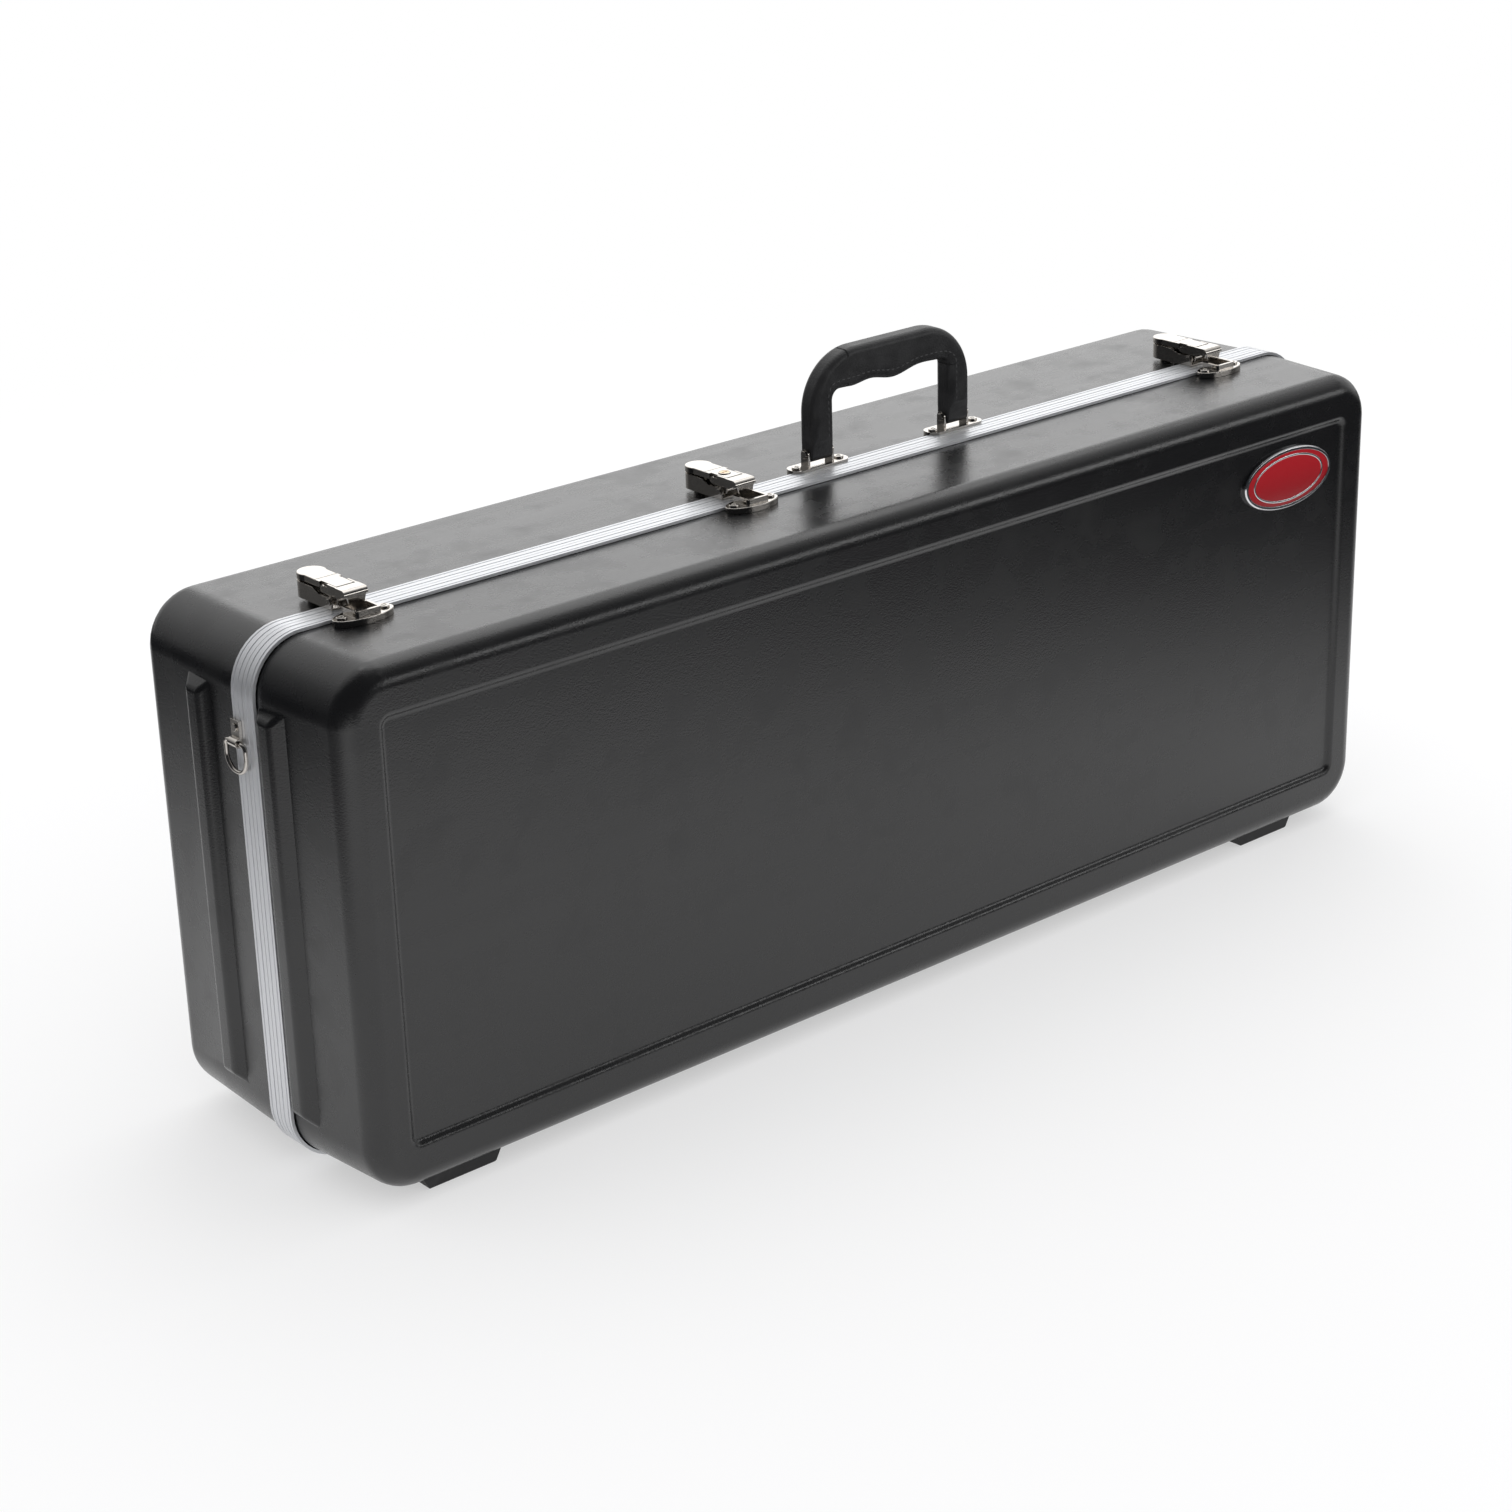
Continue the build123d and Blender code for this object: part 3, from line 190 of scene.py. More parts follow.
def merged_copy(node):
    """The solid's mesh with its corners joined and its flat faces whole, ready for a bevel."""
    mesh = bpy.data.meshes.new(node + "_mesh")
    work = bmesh.new()
    work.from_mesh(frame["nodes"][node].data)
    bmesh.ops.remove_doubles(work, verts=work.verts, dist=join_distance)
    bmesh.ops.dissolve_degenerate(work, edges=work.edges, dist=sliver_width)
    bmesh.ops.dissolve_limit(work, angle_limit=flat_angle, verts=work.verts, edges=work.edges)
    work.to_mesh(mesh)
    work.free()
    mesh.materials.clear()
    return mesh


def put(name, mesh, body, material, slot, *nodes):
    """A finished piece at the origin, riding on its body and standing for its solids."""
    piece = bpy.data.objects.new(name, mesh)
    bpy.context.scene.collection.objects.link(piece)
    if material is not None:
        mesh.materials.clear()
        mesh.materials.append(material)
    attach(piece, body)
    if nodes:
        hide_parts(*nodes)
    return piece


def smooth_faces(mesh, sharp_angle=None):
    """Every face smooth, with a crease only where the surface turns by more than an angle."""
    for face in mesh.polygons:
        face.use_smooth = True
    if sharp_angle is not None:
        mesh.set_sharp_from_angle(angle=sharp_angle)


def level_normals(piece):
    """Shading led by the large faces, so that flat ones stay flat."""
    level = piece.modifiers.new("level", "WEIGHTED_NORMAL")
    level.keep_sharp = True
    level.weight = 90


def dress(node, material, slot, smooth=30.0, bevel=0.0):
    """A solid in its finish: flat faces stay flat, curved ones are smoothed, edges are eased."""
    mesh = merged_copy(node)
    smooth_faces(mesh, math.radians(smooth))
    piece = put(node + "_finish", mesh, frame["nodes"][node]["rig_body"], material, slot, node)
    if bevel:
        ease = piece.modifiers.new("ease", "BEVEL")
        ease.width = bevel * MM
        ease.segments = 2
        ease.limit_method = "ANGLE"
        ease.angle_limit = math.radians(smooth)
        ease.use_clamp_overlap = True
    level_normals(piece)
    return piece


# The ribs' middle lines are Y values. The halves are measured from the shell's middle.
step_angle = math.radians(30)
rib_lines = {"lid_shell": -37.0, "base_shell": 36.0}
rib_half_width = 14.0
rib_half_length = 133.0
rib_reach = 11.0
crest_depth = 0.1
recess_half_length = 402.0
recess_half_height = 136.0
CREST, RECESS = range(2)
step_rounds = {CREST: 2.6, RECESS: 1.75}
round_segments = 4


def on_step(edge, step, low, high, rib_line):
    """Whether an edge is one of a rib's crest or of the recess's step, on the outer face."""
    if len(edge.link_faces) != 2 or edge.calc_face_angle(0.0) < step_angle:
        return False
    middle = (low + high) / 2
    spots = [corner.co - middle for corner in edge.verts]
    axis = 1 if step == RECESS else 0
    if any(face.normal[axis] * spots[0][axis] <= 0 for face in edge.link_faces):
        return False
    if step == RECESS:
        return all(
            abs(spot.x) < recess_half_length * MM and abs(spot.z) < recess_half_height * MM
            for spot in spots
        )
    reach = (high.x - low.x) / 2
    if any(
        abs(spot.x) < reach - rib_reach * MM
        or abs(spot.z) > rib_half_length * MM
        or abs(spot.y + middle.y - rib_line * MM) > rib_half_width * MM
        for spot in spots
    ):
        return False
    return any(abs(spot.x) > reach - crest_depth * MM for spot in spots)


def eased_steps(node, rib_line):
    """The shell with the steps of its ribs and of its recess rounded over."""
    mesh = merged_copy(node)
    low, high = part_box(node)
    for step, width in step_rounds.items():
        work = bmesh.new()
        work.from_mesh(mesh)
        bmesh.ops.bevel(
            work,
            geom=[edge for edge in work.edges if on_step(edge, step, low, high, rib_line)],
            offset=width * MM,
            segments=round_segments,
            profile=0.5,
            affect="EDGES",
            clamp_overlap=False,
        )
        work.to_mesh(mesh)
        work.free()
    smooth_faces(mesh, step_angle)
    body = frame["nodes"][node]["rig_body"]
    level_normals(put(node + "_finish", mesh, body, shell_black, "shell_plastic", node))


finish = Finish("black_grained_sheet")
where = finish.place()
pebble = finish.cells(where, 1050.0)
fine = finish.noise(where, 1900.0, 2.0)
broad = finish.noise(where, 5.0, 3.0)
streaks = finish.noise(finish.place((3.0, 70.0, 70.0)), 1.0, 4.0)
worn = finish.noise(where, 38.0, 5.0, 0.6)
shell_black = finish.surface(
    Base_Color=finish.mix(
        broad.ramp(0.3, 0.7), (0.0042, 0.0043, 0.0048, 1), (0.0064, 0.0064, 0.0070, 1)
    ),
    Roughness=0.21 + streaks * 0.10 + worn.ramp(0.45, 0.75) * 0.07,
    Normal=finish.bump((1.0 - pebble) * 0.8 + fine * 0.3, 0.09 * MM, 0.9),
    Specular_IOR_Level=0.68,
)
for shell, rib_line in rib_lines.items():
    eased_steps(shell, rib_line)


# Valances. One satin-anodised aluminium extrusion is bent round each shell, with fine beads and
# drawing lines along it; the base's carries the tongue that closes into the lid's groove.
finish = Finish("satin_aluminium")
where = finish.place()
drawn = finish.noise(finish.place((6.0, 1400.0, 6.0)), 1.0, 2.0)
cloud = finish.noise(where, 14.0, 3.0)
aluminium = finish.surface(
    Base_Color=finish.mix(cloud, (0.62, 0.63, 0.65, 1), (0.72, 0.73, 0.75, 1)),
    Metallic=0.75,
    Roughness=0.38 + cloud * 0.06,
    Normal=finish.bump(drawn, 0.010 * MM, 0.25),
)
for valance in ("lid_valance", "base_valance"):
    dress(valance, aluminium, "valance_aluminium", smooth=40.0, bevel=0.12)


# Inserts. Each shell holds one block of moulded foam under black flock, pressed in behind the
# valance's lip, with pockets for the instrument and, in the base, an open accessory tray.
insert_voxel = 4.5
insert_relaxing = 5
finish = Finish("black_flock")
where = finish.place()
pile = finish.noise(where, 1500.0, 2.0, 0.7)
brushed = finish.noise(where, 22.0, 4.0)
flock = finish.surface(
    Base_Color=finish.mix(
        brushed.ramp(0.3, 0.75), (0.014, 0.014, 0.016, 1), (0.022, 0.022, 0.025, 1)
    ),
    Roughness=0.95,
    Normal=finish.bump(pile + brushed * 0.6, 0.5 * MM, 0.8),
    Sheen_Weight=0.35,
    Sheen_Roughness=0.4,
    Specular_IOR_Level=0.15,
)


def soft_block(node, name):
    """The insert with every edge rounded over, as moulded foam is under its flock."""
    mesh = merged_copy(node)
    rough = bpy.data.objects.new(name + "_rough", mesh)
    bpy.context.scene.collection.objects.link(rough)
    grid = rough.modifiers.new("grid", "REMESH")
    grid.mode = "VOXEL"
    grid.voxel_size = insert_voxel * MM
    relax = rough.modifiers.new("relax", "SMOOTH")
    relax.factor = 0.5
    relax.iterations = insert_relaxing
    view = bpy.context.evaluated_depsgraph_get()
    made = bpy.data.meshes.new_from_object(rough.evaluated_get(view))
    bpy.data.objects.remove(rough)
    smooth_faces(made)
    piece = put(name, made, frame["nodes"][node]["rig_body"], flock, "flocked_foam", node)


soft_block("base_insert", "base_foam")
soft_block("lid_insert", "lid_foam")


# Feet. Four moulded rubber blocks with bevelled ends carry the case when it stands; each is
# riveted through its sole.
finish = Finish("black_rubber")
where = finish.place()
dust = finish.noise(where, 60.0, 5.0)
rubber = finish.surface(
    Base_Color=finish.mix(
        dust.ramp(0.5, 0.75), (0.012, 0.012, 0.013, 1), (0.028, 0.028, 0.029, 1)
    ),
    Roughness=0.55 + dust * 0.2,
    Normal=finish.bump(finish.noise(where, 900.0, 3.0), 0.08 * MM, 0.5),
)
for foot in ("lid_foot_left", "lid_foot_right", "base_foot_left", "base_foot_right"):
    dress(foot, rubber, "foot_rubber", smooth=34.0, bevel=0.3)


# Hinges. Three butt hinges of nickel-plated sheet lie under the valances, each leaf rolled to its
# share of the five knuckles and held by two rivets.
finish = Finish("bright_nickel")
where = finish.place()
wave = finish.noise(where, 160.0, 3.0)
smear = finish.noise(where, 420.0, 4.0, 0.6)
nickel = finish.surface(
    Base_Color=finish.mix(smear.ramp(0.35, 0.75), (0.53, 0.50, 0.465, 1), (0.62, 0.59, 0.55, 1)),
    Metallic=1.0,
    Roughness=0.13 + smear.ramp(0.4, 0.8) * 0.12,
    Normal=finish.bump(wave, 0.05 * MM, 0.35),
)
places = ("left", "centre", "right")
for place in places:
    dress("lid_hinge_leaf_" + place, nickel, "nickel_steel", bevel=0.12)
    dress("base_hinge_leaf_" + place, nickel, "nickel_steel", bevel=0.12)
dress("hinge_pins", nickel, "nickel_steel", bevel=0.12)


# Draw latches. Each is a pressed tray riveted to the base, a lever on a cross pin and a claw that
# hangs on the lever by two stub rivets and reaches over the seam.
for place in places:
    dress("latch_plate_" + place, nickel, "nickel_steel", bevel=0.15)
    dress("lever_" + place, nickel, "nickel_steel", bevel=0.2)
    dress("claw_" + place, nickel, "nickel_steel", bevel=0.2)
    dress("claw_pins_" + place, nickel, "nickel_steel", bevel=0.12)
dress("lever_pins", nickel, "nickel_steel", bevel=0.12)


# Catches. A small cast plate under each claw, riveted to the lid, with a framed pocket for the
# claw's nose.
for place in places:
    dress("catch_" + place, nickel, "nickel_steel", bevel=0.15)


# Key lock. A steel barrel is pressed into the centre lever; its brass plug turns a cam under a
# hook on the tray.
finish = Finish("worn_brass")
where = finish.place()
tarnish = finish.noise(where, 700.0, 4.0)
brass = finish.surface(
    Base_Color=finish.mix(tarnish, (0.60, 0.42, 0.24, 1), (0.78, 0.62, 0.42, 1)),
    Metallic=1.0,
    Roughness=0.22 + tarnish * 0.15,
    Normal=finish.bump(tarnish, 0.03 * MM, 0.4),
)
dress("lock_barrel", nickel, "nickel_steel", bevel=0.12)
dress("lock_plug", brass, "lock_brass", bevel=0.1)
dress("lock_cam", nickel, "nickel_steel", bevel=0.1)


# Handle. One moulding of soft black vinyl over a steel core, with finger waves under the grip; it
# swings on a pin between the ears of each riveted plate.
handle_centre = 61.5
band_top = 330.0
fold_along = -38.0
fold_above = 44.0
fold_soft = 0.8
fold_depth = 0.9
finish = Finish("black_vinyl")
where = finish.place()
leather = finish.cells(where, 760.0)
soft = finish.noise(where, 90.0, 4.0)
wrinkle = finish.noise(finish.place((40.0, 40.0, 160.0)), 1.0, 4.0)
along, _, height = finish.axes(where)
fold_at = (handle_centre + fold_along) * MM
fold_from = (band_top + fold_above) * MM
fold_edge = along.ramp(fold_at - fold_soft * MM, fold_at + fold_soft * MM)
fold = fold_edge * height.ramp(fold_from, fold_from + MM)
grain = finish.bump((1.0 - leather) * 0.8 + wrinkle * 0.8 + soft * 0.5, 0.18 * MM, 0.9)
vinyl = finish.surface(
    Base_Color=finish.mix(soft.ramp(0.35, 0.7), (0.015, 0.015, 0.016, 1), (0.023, 0.023, 0.024, 1)),
    Roughness=0.40 + soft * 0.14,
    Normal=finish.node(
        "ShaderNodeBump",
        {},
        {"Height": fold, "Distance": fold_depth * MM, "Strength": 1.0, "Normal": grain},
    ),
)
dress("handle_grip", vinyl, "handle_plastic", smooth=40.0)
for side in ("left", "right"):
    dress("handle_plate_" + side, nickel, "nickel_steel", bevel=0.18)
dress("handle_pins", nickel, "nickel_steel", bevel=0.15)


# Strap rings. A wire ring hangs in a folded clip at each end, for a shoulder strap.
for side in ("left", "right"):
    dress("strap_clip_" + side, nickel, "nickel_steel", smooth=40.0, bevel=0.12)
    dress("strap_ring_" + side, nickel, "nickel_steel", smooth=60.0)


# Rivets. Nickel-plated blind rivets hold the hardware and the feet. Each head ends in a rolled
# eye round its hollow.
eye_radius = 1.35
eye_wire = 0.42
eye_sides = 20
wire_sides = 8
eye_sink = 0.15
rivet_groups = {
    "lid_hinge_rivets": (0, 0, -1),
    "base_hinge_rivets": (0, 0, -1),
    "lid_foot_rivets": (0, 0, -1),
    "base_foot_rivets": (0, 0, -1),
    "latch_rivets": (0, 0, 1),
    "catch_rivets": (0, 0, 1),
    "handle_rivets": (0, 0, 1),
}


def setting_tree(name, values, shape):
    """Geometry nodes that set one small shape on every point, turned to its facing and along."""
    tree = bpy.data.node_groups.new(name, "GeometryNodeTree")
    ports = tree.interface
    ports.new_socket("Geometry", in_out="INPUT", socket_type="NodeSocketGeometry")
    for label in values:
        ports.new_socket(label, in_out="INPUT", socket_type="NodeSocketFloat")
    ports.new_socket("Finish", in_out="INPUT", socket_type="NodeSocketMaterial")
    ports.new_socket("Geometry", in_out="OUTPUT", socket_type="NodeSocketGeometry")
    start = tree.nodes.new("NodeGroupInput")
    end = tree.nodes.new("NodeGroupOutput")
    setter = tree.nodes.new("GeometryNodeInstanceOnPoints")
    tree.links.new(start.outputs["Geometry"], setter.inputs["Points"])
    tree.links.new(shape(tree, start), setter.inputs["Instance"])
    turned = None
    for attribute, axis in (("facing", "Z"), ("along", "X")):
        read = tree.nodes.new("GeometryNodeInputNamedAttribute")
        read.data_type = "FLOAT_VECTOR"
        read.inputs["Name"].default_value = attribute
        turn = tree.nodes.new("FunctionNodeAlignRotationToVector")
        turn.axis = axis
        turn.pivot_axis = "AUTO" if turned is None else "Z"
        tree.links.new(read.outputs["Attribute"], turn.inputs["Vector"])
        if turned is not None:
            tree.links.new(turned, turn.inputs["Rotation"])
        turned = turn.outputs["Rotation"]
    tree.links.new(turned, setter.inputs["Rotation"])
    real = tree.nodes.new("GeometryNodeRealizeInstances")
    coat = tree.nodes.new("GeometryNodeSetMaterial")
    tree.links.new(setter.outputs["Instances"], real.inputs["Geometry"])
    tree.links.new(real.outputs["Geometry"], coat.inputs["Geometry"])
    tree.links.new(start.outputs["Finish"], coat.inputs["Material"])
    tree.links.new(coat.outputs["Geometry"], end.inputs["Geometry"])
    return tree


def set_pieces(name, body, tree, values, material, slot, spots):
    """One mesh of the set shapes of one body; each spot is a point, a facing and an along."""
    mesh = bpy.data.meshes.new(name + "_points")
    mesh.from_pydata([tuple(spot[0]) for spot in spots], [], [])
    for place, label in ((1, "facing"), (2, "along")):
        layer = mesh.attributes.new(label, "FLOAT_VECTOR", "POINT")
        for i, spot in enumerate(spots):
            layer.data[i].vector = spot[place]
    carrier = bpy.data.objects.new(name + "_points", mesh)
    bpy.context.scene.collection.objects.link(carrier)
    setter = carrier.modifiers.new("set", "NODES")
    setter.node_group = tree
    given = dict(values, Finish=material)
    for item in tree.interface.items_tree:
        if item.in_out == "INPUT" and item.name in given:
            setter[item.identifier] = given[item.name]
    view = bpy.context.evaluated_depsgraph_get()
    made = bpy.data.meshes.new_from_object(carrier.evaluated_get(view))
    bpy.data.objects.remove(carrier)
    smooth_faces(made)
    put(name, made, body, None, slot)


def rolled_eye(tree, start):
    """A thin ring of wire."""
    ring = tree.nodes.new("GeometryNodeCurvePrimitiveCircle")
    wire = tree.nodes.new("GeometryNodeCurvePrimitiveCircle")
    tube = tree.nodes.new("GeometryNodeCurveToMesh")
    ring.inputs["Resolution"].default_value = eye_sides
    wire.inputs["Resolution"].default_value = wire_sides
    tree.links.new(start.outputs["Eye Radius"], ring.inputs["Radius"])
    tree.links.new(start.outputs["Eye Wire"], wire.inputs["Radius"])
    tree.links.new(ring.outputs["Curve"], tube.inputs["Curve"])
    tree.links.new(wire.outputs["Curve"], tube.inputs["Profile Curve"])
    return tube.outputs["Mesh"]


def islands(mesh):
    """The boxes of a mesh's separate parts."""
    work = bmesh.new()
    work.from_mesh(mesh)
    left = set(work.verts)
    boxes = []
    while left:
        front = [left.pop()]
        part = []
        while front:
            corner = front.pop()
            part.append(corner.co.copy())
            for edge in corner.link_edges:
                other = edge.other_vert(corner)
                if other in left:
                    left.remove(other)
                    front.append(other)
        low = Vector([min(spot[i] for spot in part) for i in range(3)])
        high = Vector([max(spot[i] for spot in part) for i in range(3)])
        boxes.append((low, high))
    work.free()
    return sorted(boxes, key=lambda pair: tuple(pair[0]))


eye_sizes = {"Eye Radius": eye_radius * MM, "Eye Wire": eye_wire * MM}
eyes = setting_tree("rolled_eyes", eye_sizes, rolled_eye)
spots = {}
for node, direction in rivet_groups.items():
    dressed = dress(node, nickel, "nickel_steel", smooth=34.0)
    up = Vector(direction)
    for low, high in islands(dressed.data):
        middle = (low + high) / 2
        outer = high if up.z > 0 else low
        at = Vector((middle.x, middle.y, outer.z)) - up * eye_sink * MM
        spots.setdefault(frame["nodes"][node]["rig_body"], []).append((at, up, (1, 0, 0)))
dress("strap_rivets", nickel, "nickel_steel", smooth=34.0)
for body, found in spots.items():
    set_pieces(body + "_rivet_eyes", body, eyes, eye_sizes, nickel, "nickel_steel", found)


# Stitches. A row of waxed thread runs up each leg of the handle and along the grip, on both faces.
stitch_pitch = 4.2
path_steps = 12
stitch_sizes = {"Length": 1.35 * MM, "Width": 0.42 * MM, "Height": 0.22 * MM}
stitch_path = (
    (-55.0, 20.0), (-55.0, 34.0), (-54.8, 45.0), (-51.5, 51.5), (-45.0, 53.2), (-32.0, 53.4),
    (-18.0, 54.2), (1.5, 51.6), (20.0, 54.8), (38.0, 55.2), (48.0, 53.6), (53.8, 49.0),
    (55.0, 42.0), (55.0, 32.0), (55.0, 20.0),
)
finish = Finish("waxed_thread")
where = finish.place()
thread = finish.surface(
    Base_Color=finish.mix(
        finish.noise(where, 800.0, 2.0), (0.035, 0.035, 0.036, 1), (0.065, 0.065, 0.067, 1)
    ),
    Roughness=0.5 + finish.noise(where, 2000.0, 2.0) * 0.2,
)


def thread_pad(tree, start):
    """A flattened ball, one stitch long."""
    ball = tree.nodes.new("GeometryNodeMeshUVSphere")
    ball.inputs["Segments"].default_value = 12
    ball.inputs["Rings"].default_value = 8
    ball.inputs["Radius"].default_value = 1.0
    sizes = tree.nodes.new("ShaderNodeCombineXYZ")
    for axis, label in enumerate(("Length", "Width", "Height")):
        tree.links.new(start.outputs[label], sizes.inputs[axis])
    squash = tree.nodes.new("GeometryNodeTransform")
    tree.links.new(ball.outputs["Mesh"], squash.inputs["Geometry"])
    tree.links.new(sizes.outputs["Vector"], squash.inputs["Scale"])
    return squash.outputs["Geometry"]


def between(before, start, end, after, t):
    """A value on the smooth curve from start to end that its neighbours lead."""
    bend = 2 * before - 5 * start + 4 * end - after
    turn = 3 * start - before - 3 * end + after
    return 0.5 * (2 * start + (end - before) * t + bend * t ** 2 + turn * t ** 3)


def along_path(points, pitch):
    """Places at an even pitch along a smooth line through points, with their directions."""
    line = []
    for i in range(len(points) - 1):
        p0, p1 = points[max(i - 1, 0)], points[i]
        p2, p3 = points[i + 1], points[min(i + 2, len(points) - 1)]
        for k in range(path_steps):
            t = k / path_steps
            line.append(Vector([between(p0[c], p1[c], p2[c], p3[c], t) for c in (0, 1)]))
    found = []
    left = 0.0
    for here, there in zip(line, line[1:]):
        step = (there - here).length
        while left <= step:
            found.append((here.lerp(there, left / step), (there - here).normalized()))
            left += pitch
        left -= step
    return found


handle_mesh = frame["nodes"]["handle_grip"].data
handle_form = BVHTree.FromPolygons(
    [vertex.co for vertex in handle_mesh.vertices],
    [tuple(face.vertices) for face in handle_mesh.polygons],
)
handle_low, handle_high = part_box("handle_grip")
sewn = []
for level in (handle_low.y, handle_high.y):
    for spot, run in along_path(stitch_path, stitch_pitch):
        aim = Vector(((handle_centre + spot.x) * MM, level, (band_top + spot.y) * MM))
        hit, normal, face, reach = handle_form.find_nearest(aim)
        sewn.append((hit, normal, (run.x, 0, run.y)))
stitches = setting_tree("stitches", stitch_sizes, thread_pad)
set_pieces("handle_stitches", "handle", stitches, stitch_sizes, thread, "handle_plastic", sewn)


# Badge. A bright oval rim set in the lid's recess holds a clear red dome with a raised oval line.
badge_low, badge_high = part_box("badge_dome")
badge_centre = (badge_low + badge_high) / 2
badge_half = (badge_high - badge_low) / 2
finish = Finish("bright_rim")
where = finish.place()
rim_metal = finish.surface(
    Base_Color=finish.mix(
        finish.noise(where, 300.0, 3.0), (0.72, 0.72, 0.74, 1), (0.84, 0.84, 0.86, 1)
    ),
    Metallic=1.0,
    Roughness=0.14 + finish.noise(where, 500.0, 3.0) * 0.08,
)
dress("badge_rim", rim_metal, "badge_metal", smooth=34.0, bevel=0.15)

finish = Finish("red_dome")
where = finish.place(offset=tuple(-badge_centre))
height = finish.axes(where)[2]
# Painted light and shade: the dome's red is painted lighter towards its top and darker towards its
# bottom.
painted_light_from_above = (height / badge_half.z).ramp(-1.0, 0.8)
red = finish.surface(
    Base_Color=finish.mix(painted_light_from_above, (0.24, 0.003, 0.007, 1), (0.35, 0.005, 0.011, 1)),
    Roughness=0.22 + finish.noise(where, 200.0, 3.0) * 0.06,
    Coat_Weight=0.6,
    Coat_Roughness=0.05,
)

dome_rings = 14
dome_sides = 96
dome_edge = badge_high.y - badge_low.y
dome_rise = 0.85 * MM
dome_floor = badge_high.y


def dome_height(reach):
    """How far the dome stands from its seat at a share of its half size."""
    return dome_edge + dome_rise * (1 - reach ** 2)


work = bmesh.new()
loops = []
for i in range(dome_rings + 1):
    reach = 1 - i / (dome_rings + 1)
    loop = []
    for j in range(dome_sides):
        turn = 2 * math.pi * j / dome_sides
        loop.append(
            work.verts.new(
                (
                    badge_centre.x + badge_half.x * reach * math.cos(turn),
                    dome_floor - dome_height(reach),
                    badge_centre.z + badge_half.z * reach * math.sin(turn),
                )
            )
        )
    loops.append(loop)
seat = [work.verts.new((v.co.x, dome_floor, v.co.z)) for v in loops[0]]
peak = work.verts.new((badge_centre.x, dome_floor - dome_height(0), badge_centre.z))
foot = work.verts.new((badge_centre.x, dome_floor, badge_centre.z))
for j in range(dome_sides):
    k = (j + 1) % dome_sides
    work.faces.new((seat[j], seat[k], loops[0][k], loops[0][j]))
    work.faces.new((foot, seat[k], seat[j]))
    for inner, outer in zip(loops[1:], loops[:-1]):
        work.faces.new((outer[j], outer[k], inner[k], inner[j]))
    work.faces.new((loops[-1][j], loops[-1][k], peak))
bmesh.ops.recalc_face_normals(work, faces=work.faces)
dome_mesh = bpy.data.meshes.new("badge_lens_mesh")
work.to_mesh(dome_mesh)
work.free()
smooth_faces(dome_mesh, math.radians(40))
put("badge_lens", dome_mesh, "lid", red, "badge_enamel", "badge_dome")

oval_share = 0.84
oval_wire_width = 0.78
oval_wire_height = 0.24
oval_sides = 8
work = bmesh.new()
hoops = []
for j in range(dome_sides):
    turn = 2 * math.pi * j / dome_sides
    out = Vector((badge_half.x * math.cos(turn), 0, badge_half.z * math.sin(turn))) * oval_share
    level = dome_floor - dome_height(oval_share)
    spot = Vector((badge_centre.x, level, badge_centre.z)) + out
    lean = Vector((math.cos(turn) / badge_half.x, 0, math.sin(turn) / badge_half.z)).normalized()
    hoop = []
    for s in range(oval_sides):
        roll = 2 * math.pi * s / oval_sides
        sideways = lean * math.cos(roll) * oval_wire_width * MM
        upward = Vector((0, 1, 0)) * math.sin(roll) * oval_wire_height * MM
        hoop.append(work.verts.new(spot + sideways + upward))
    hoops.append(hoop)
for j in range(dome_sides):
    here, there = hoops[j], hoops[(j + 1) % dome_sides]
    for s in range(oval_sides):
        t = (s + 1) % oval_sides
        work.faces.new((here[s], there[s], there[t], here[t]))
bmesh.ops.recalc_face_normals(work, faces=work.faces)
oval_mesh = bpy.data.meshes.new("badge_line_mesh")
work.to_mesh(oval_mesh)
work.free()
smooth_faces(oval_mesh)
put("badge_line", oval_mesh, "lid", rim_metal, "badge_metal")


# Studio. A pale floor and a white backdrop that stay white to the eye, with two soft boxes above
# and behind and a strip low in front. Past two lines on the floor, mirrors see it fall dark.
floor_half = 6.0
right_line = (0.6, -0.8)
right_fade = (0.40, 1.0)
left_line = (-0.88, 0.47)
left_fade = (0.50, 1.1)
glow_near = 0.48
glow_fade = (0.75, 1.7)
work = bmesh.new()
bmesh.ops.create_grid(work, x_segments=2, y_segments=2, size=floor_half)
floor_mesh = bpy.data.meshes.new("floor_mesh")
work.to_mesh(floor_mesh)
work.free()
floor = bpy.data.objects.new("studio_floor", floor_mesh)
bpy.context.scene.collection.objects.link(floor)
finish = Finish("pale_floor")
where = finish.place()
along, across, _ = finish.axes(where)
right_margin = (along * right_line[0] + across * right_line[1]).ramp(*right_fade)
left_margin = (along * left_line[0] + across * left_line[1]).ramp(*left_fade)
margin = right_margin.math("MAXIMUM", right_margin, left_margin)
reach = finish.node("ShaderNodeVectorMath", {"operation": "LENGTH"}, {0: where}, output=1)
share = glow_near + reach.ramp(*glow_fade) * (1.0 - glow_near)
eye = finish.node("ShaderNodeLightPath", output=0)
mirrored = finish.node("ShaderNodeLightPath", output=3)
through = finish.node("ShaderNodeLightPath", output=6)
dim = margin * mirrored
matt = finish.node(
    "ShaderNodeBsdfDiffuse",
    {},
    {"Color": finish.mix(dim, (0.92, 0.92, 0.92, 1), (0.02, 0.021, 0.024, 1))},
)
glow = finish.node("ShaderNodeEmission", {}, {"Color": (1, 1, 1, 1), "Strength": 1.0})
seen = eye.math("MINIMUM", eye + mirrored + through, 1.0)
blend = finish.node("ShaderNodeMixShader", {}, {0: seen * (1.0 - dim) * share, 1: matt, 2: glow})
floor_mesh.materials.append(finish.close(blend))

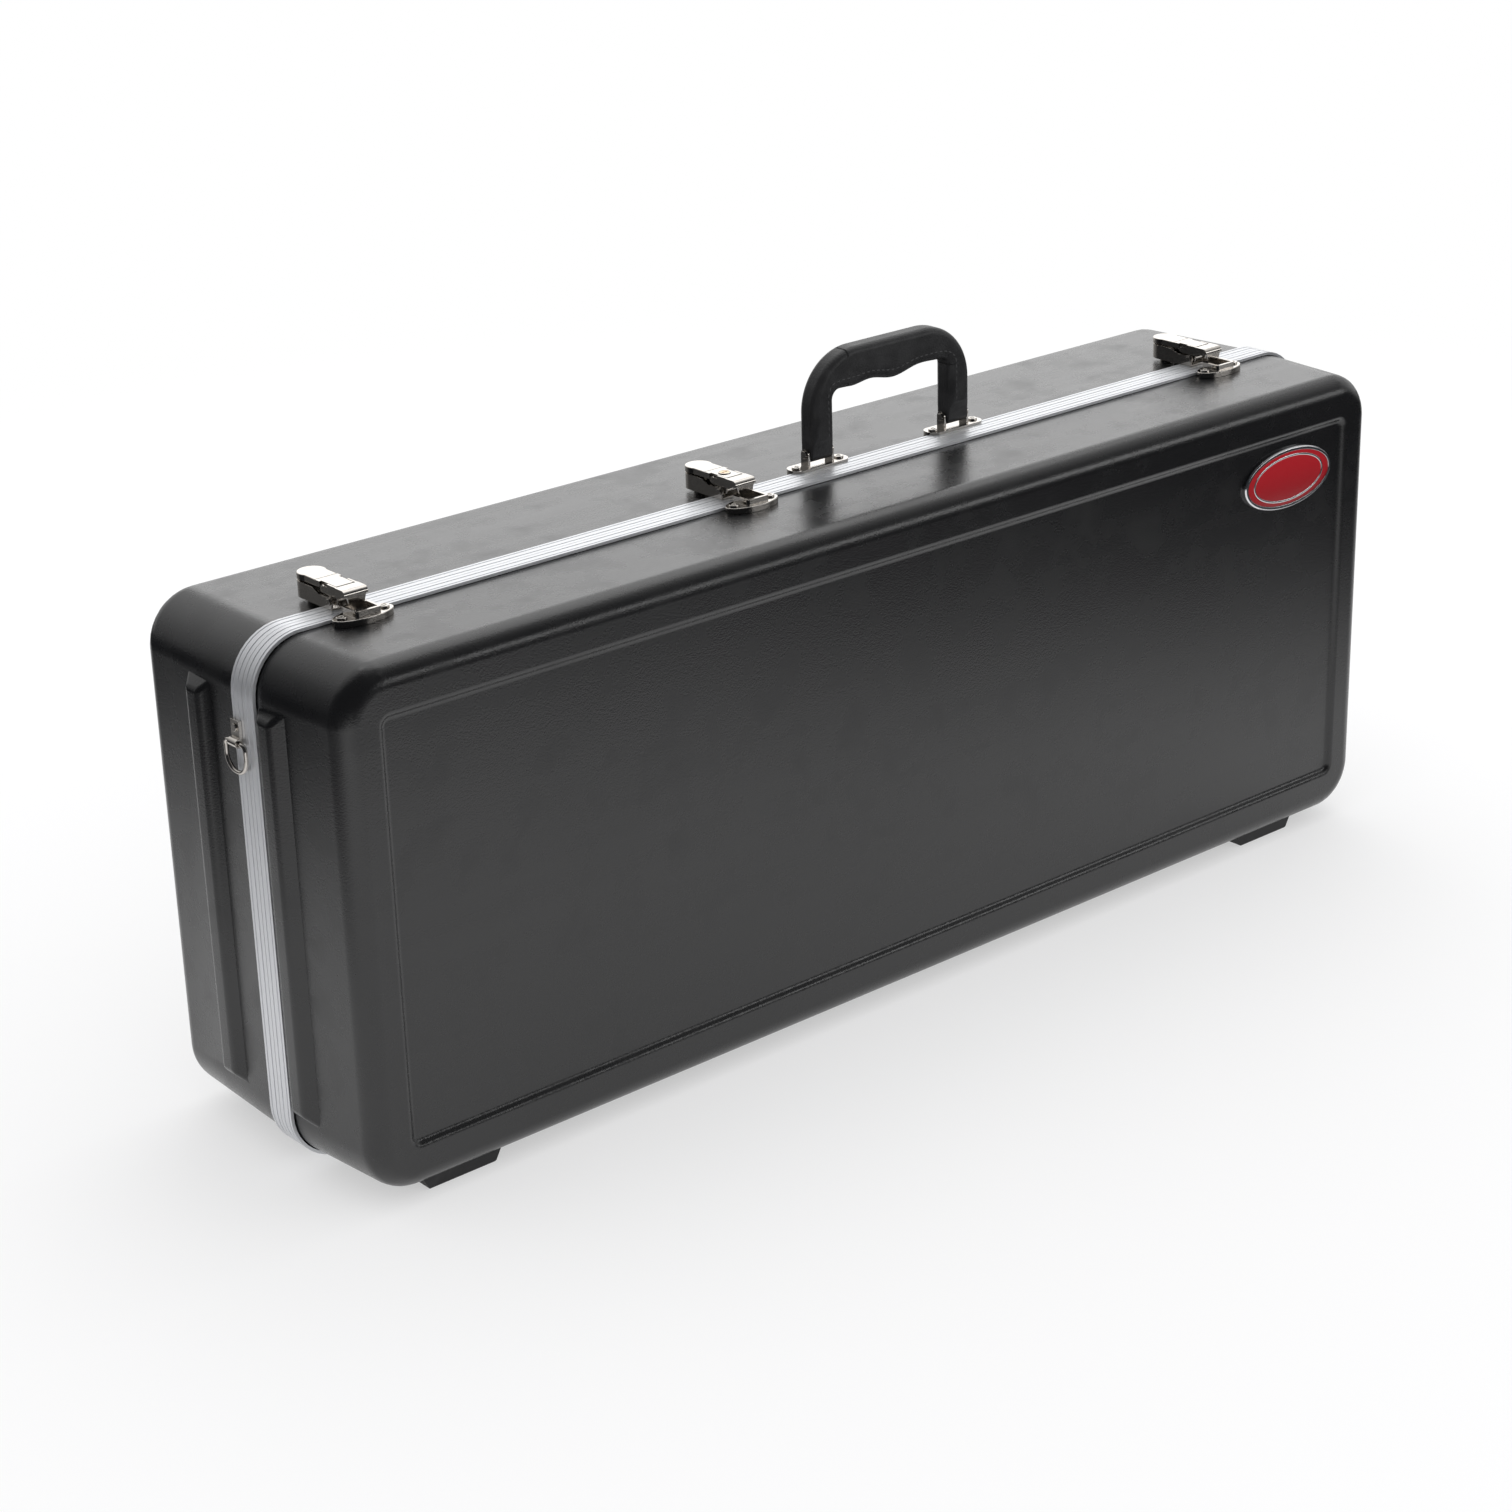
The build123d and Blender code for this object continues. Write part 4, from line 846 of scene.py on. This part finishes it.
world = bpy.data.worlds.new("studio")
bpy.context.scene.world = world
finish = Finish("studio", world)
toward = finish.node("ShaderNodeTexCoord", output=0)
back = finish.node(
    "ShaderNodeVectorMath", {"operation": "DOT_PRODUCT"}, {0: toward, 1: (0.596, 0.708, 0.379)}, output=1
)
room = finish.mix(back.ramp(0.0, 0.85), (0.03, 0.032, 0.036, 1), (0.92, 0.92, 0.92, 1))
soft = finish.node("ShaderNodeLightPath", output=2)
eye = finish.node("ShaderNodeLightPath", output=0)
air = finish.mix(eye, finish.mix(soft, room, (0.98, 0.98, 0.99, 1)), (1.0, 1.0, 1.0, 1))
sky = finish.node("ShaderNodeBackground", {}, {"Color": air, "Strength": 1.0})
finish.close(sky, "ShaderNodeOutputWorld")


def softbox(name, at, aim, width, height, power):
    """A rectangular soft light that points from one place to another."""
    lamp = bpy.data.lights.new(name, "AREA")
    lamp.shape = "RECTANGLE"
    lamp.size = width
    lamp.size_y = height
    lamp.energy = power
    holder = bpy.data.objects.new(name, lamp)
    holder.location = at
    holder.rotation_euler = (Vector(aim) - Vector(at)).to_track_quat("-Z", "Y").to_euler()
    bpy.context.scene.collection.objects.link(holder)


softbox("key_box", (0.9, 0.7, 2.4), (0.0, 0.0, 0.2), 2.2, 1.7, 11.0)
softbox("edge_strip", (1.5, -1.95, 0.80), (0.0, 0.0, 0.3), 1.8, 0.40, 6.5)
softbox("back_box", (1.7, 2.1, 1.25), (0.0, 0.0, 0.3), 2.4, 1.3, 9.0)


# Camera. It stands in front of the lid's left end and looks down on it, as in the photograph.
camera_at = Vector((-1.25594, -1.43107, 0.91390))
to_right = Vector((0.75808433, -0.65162429, -0.02634279))
downward = Vector((-0.26543096, -0.27139595, -0.92514358))
ahead = Vector((0.5956967, 0.70832904, -0.37870228))
lens_pixels = 3172.0
frame_pixels = 1512.0
camera_data = bpy.data.cameras.new("camera")
camera_data.sensor_width = 36.0
camera_data.sensor_fit = "HORIZONTAL"
camera_data.lens = lens_pixels / frame_pixels * camera_data.sensor_width
camera_data.clip_start = 0.05
camera = bpy.data.objects.new("camera", camera_data)
turned = Matrix((to_right, -downward, -ahead)).transposed().to_4x4()
camera.matrix_world = Matrix.Translation(camera_at) @ turned
bpy.context.scene.collection.objects.link(camera)
bpy.context.scene.camera = camera

bpy.context.view_layer.update()
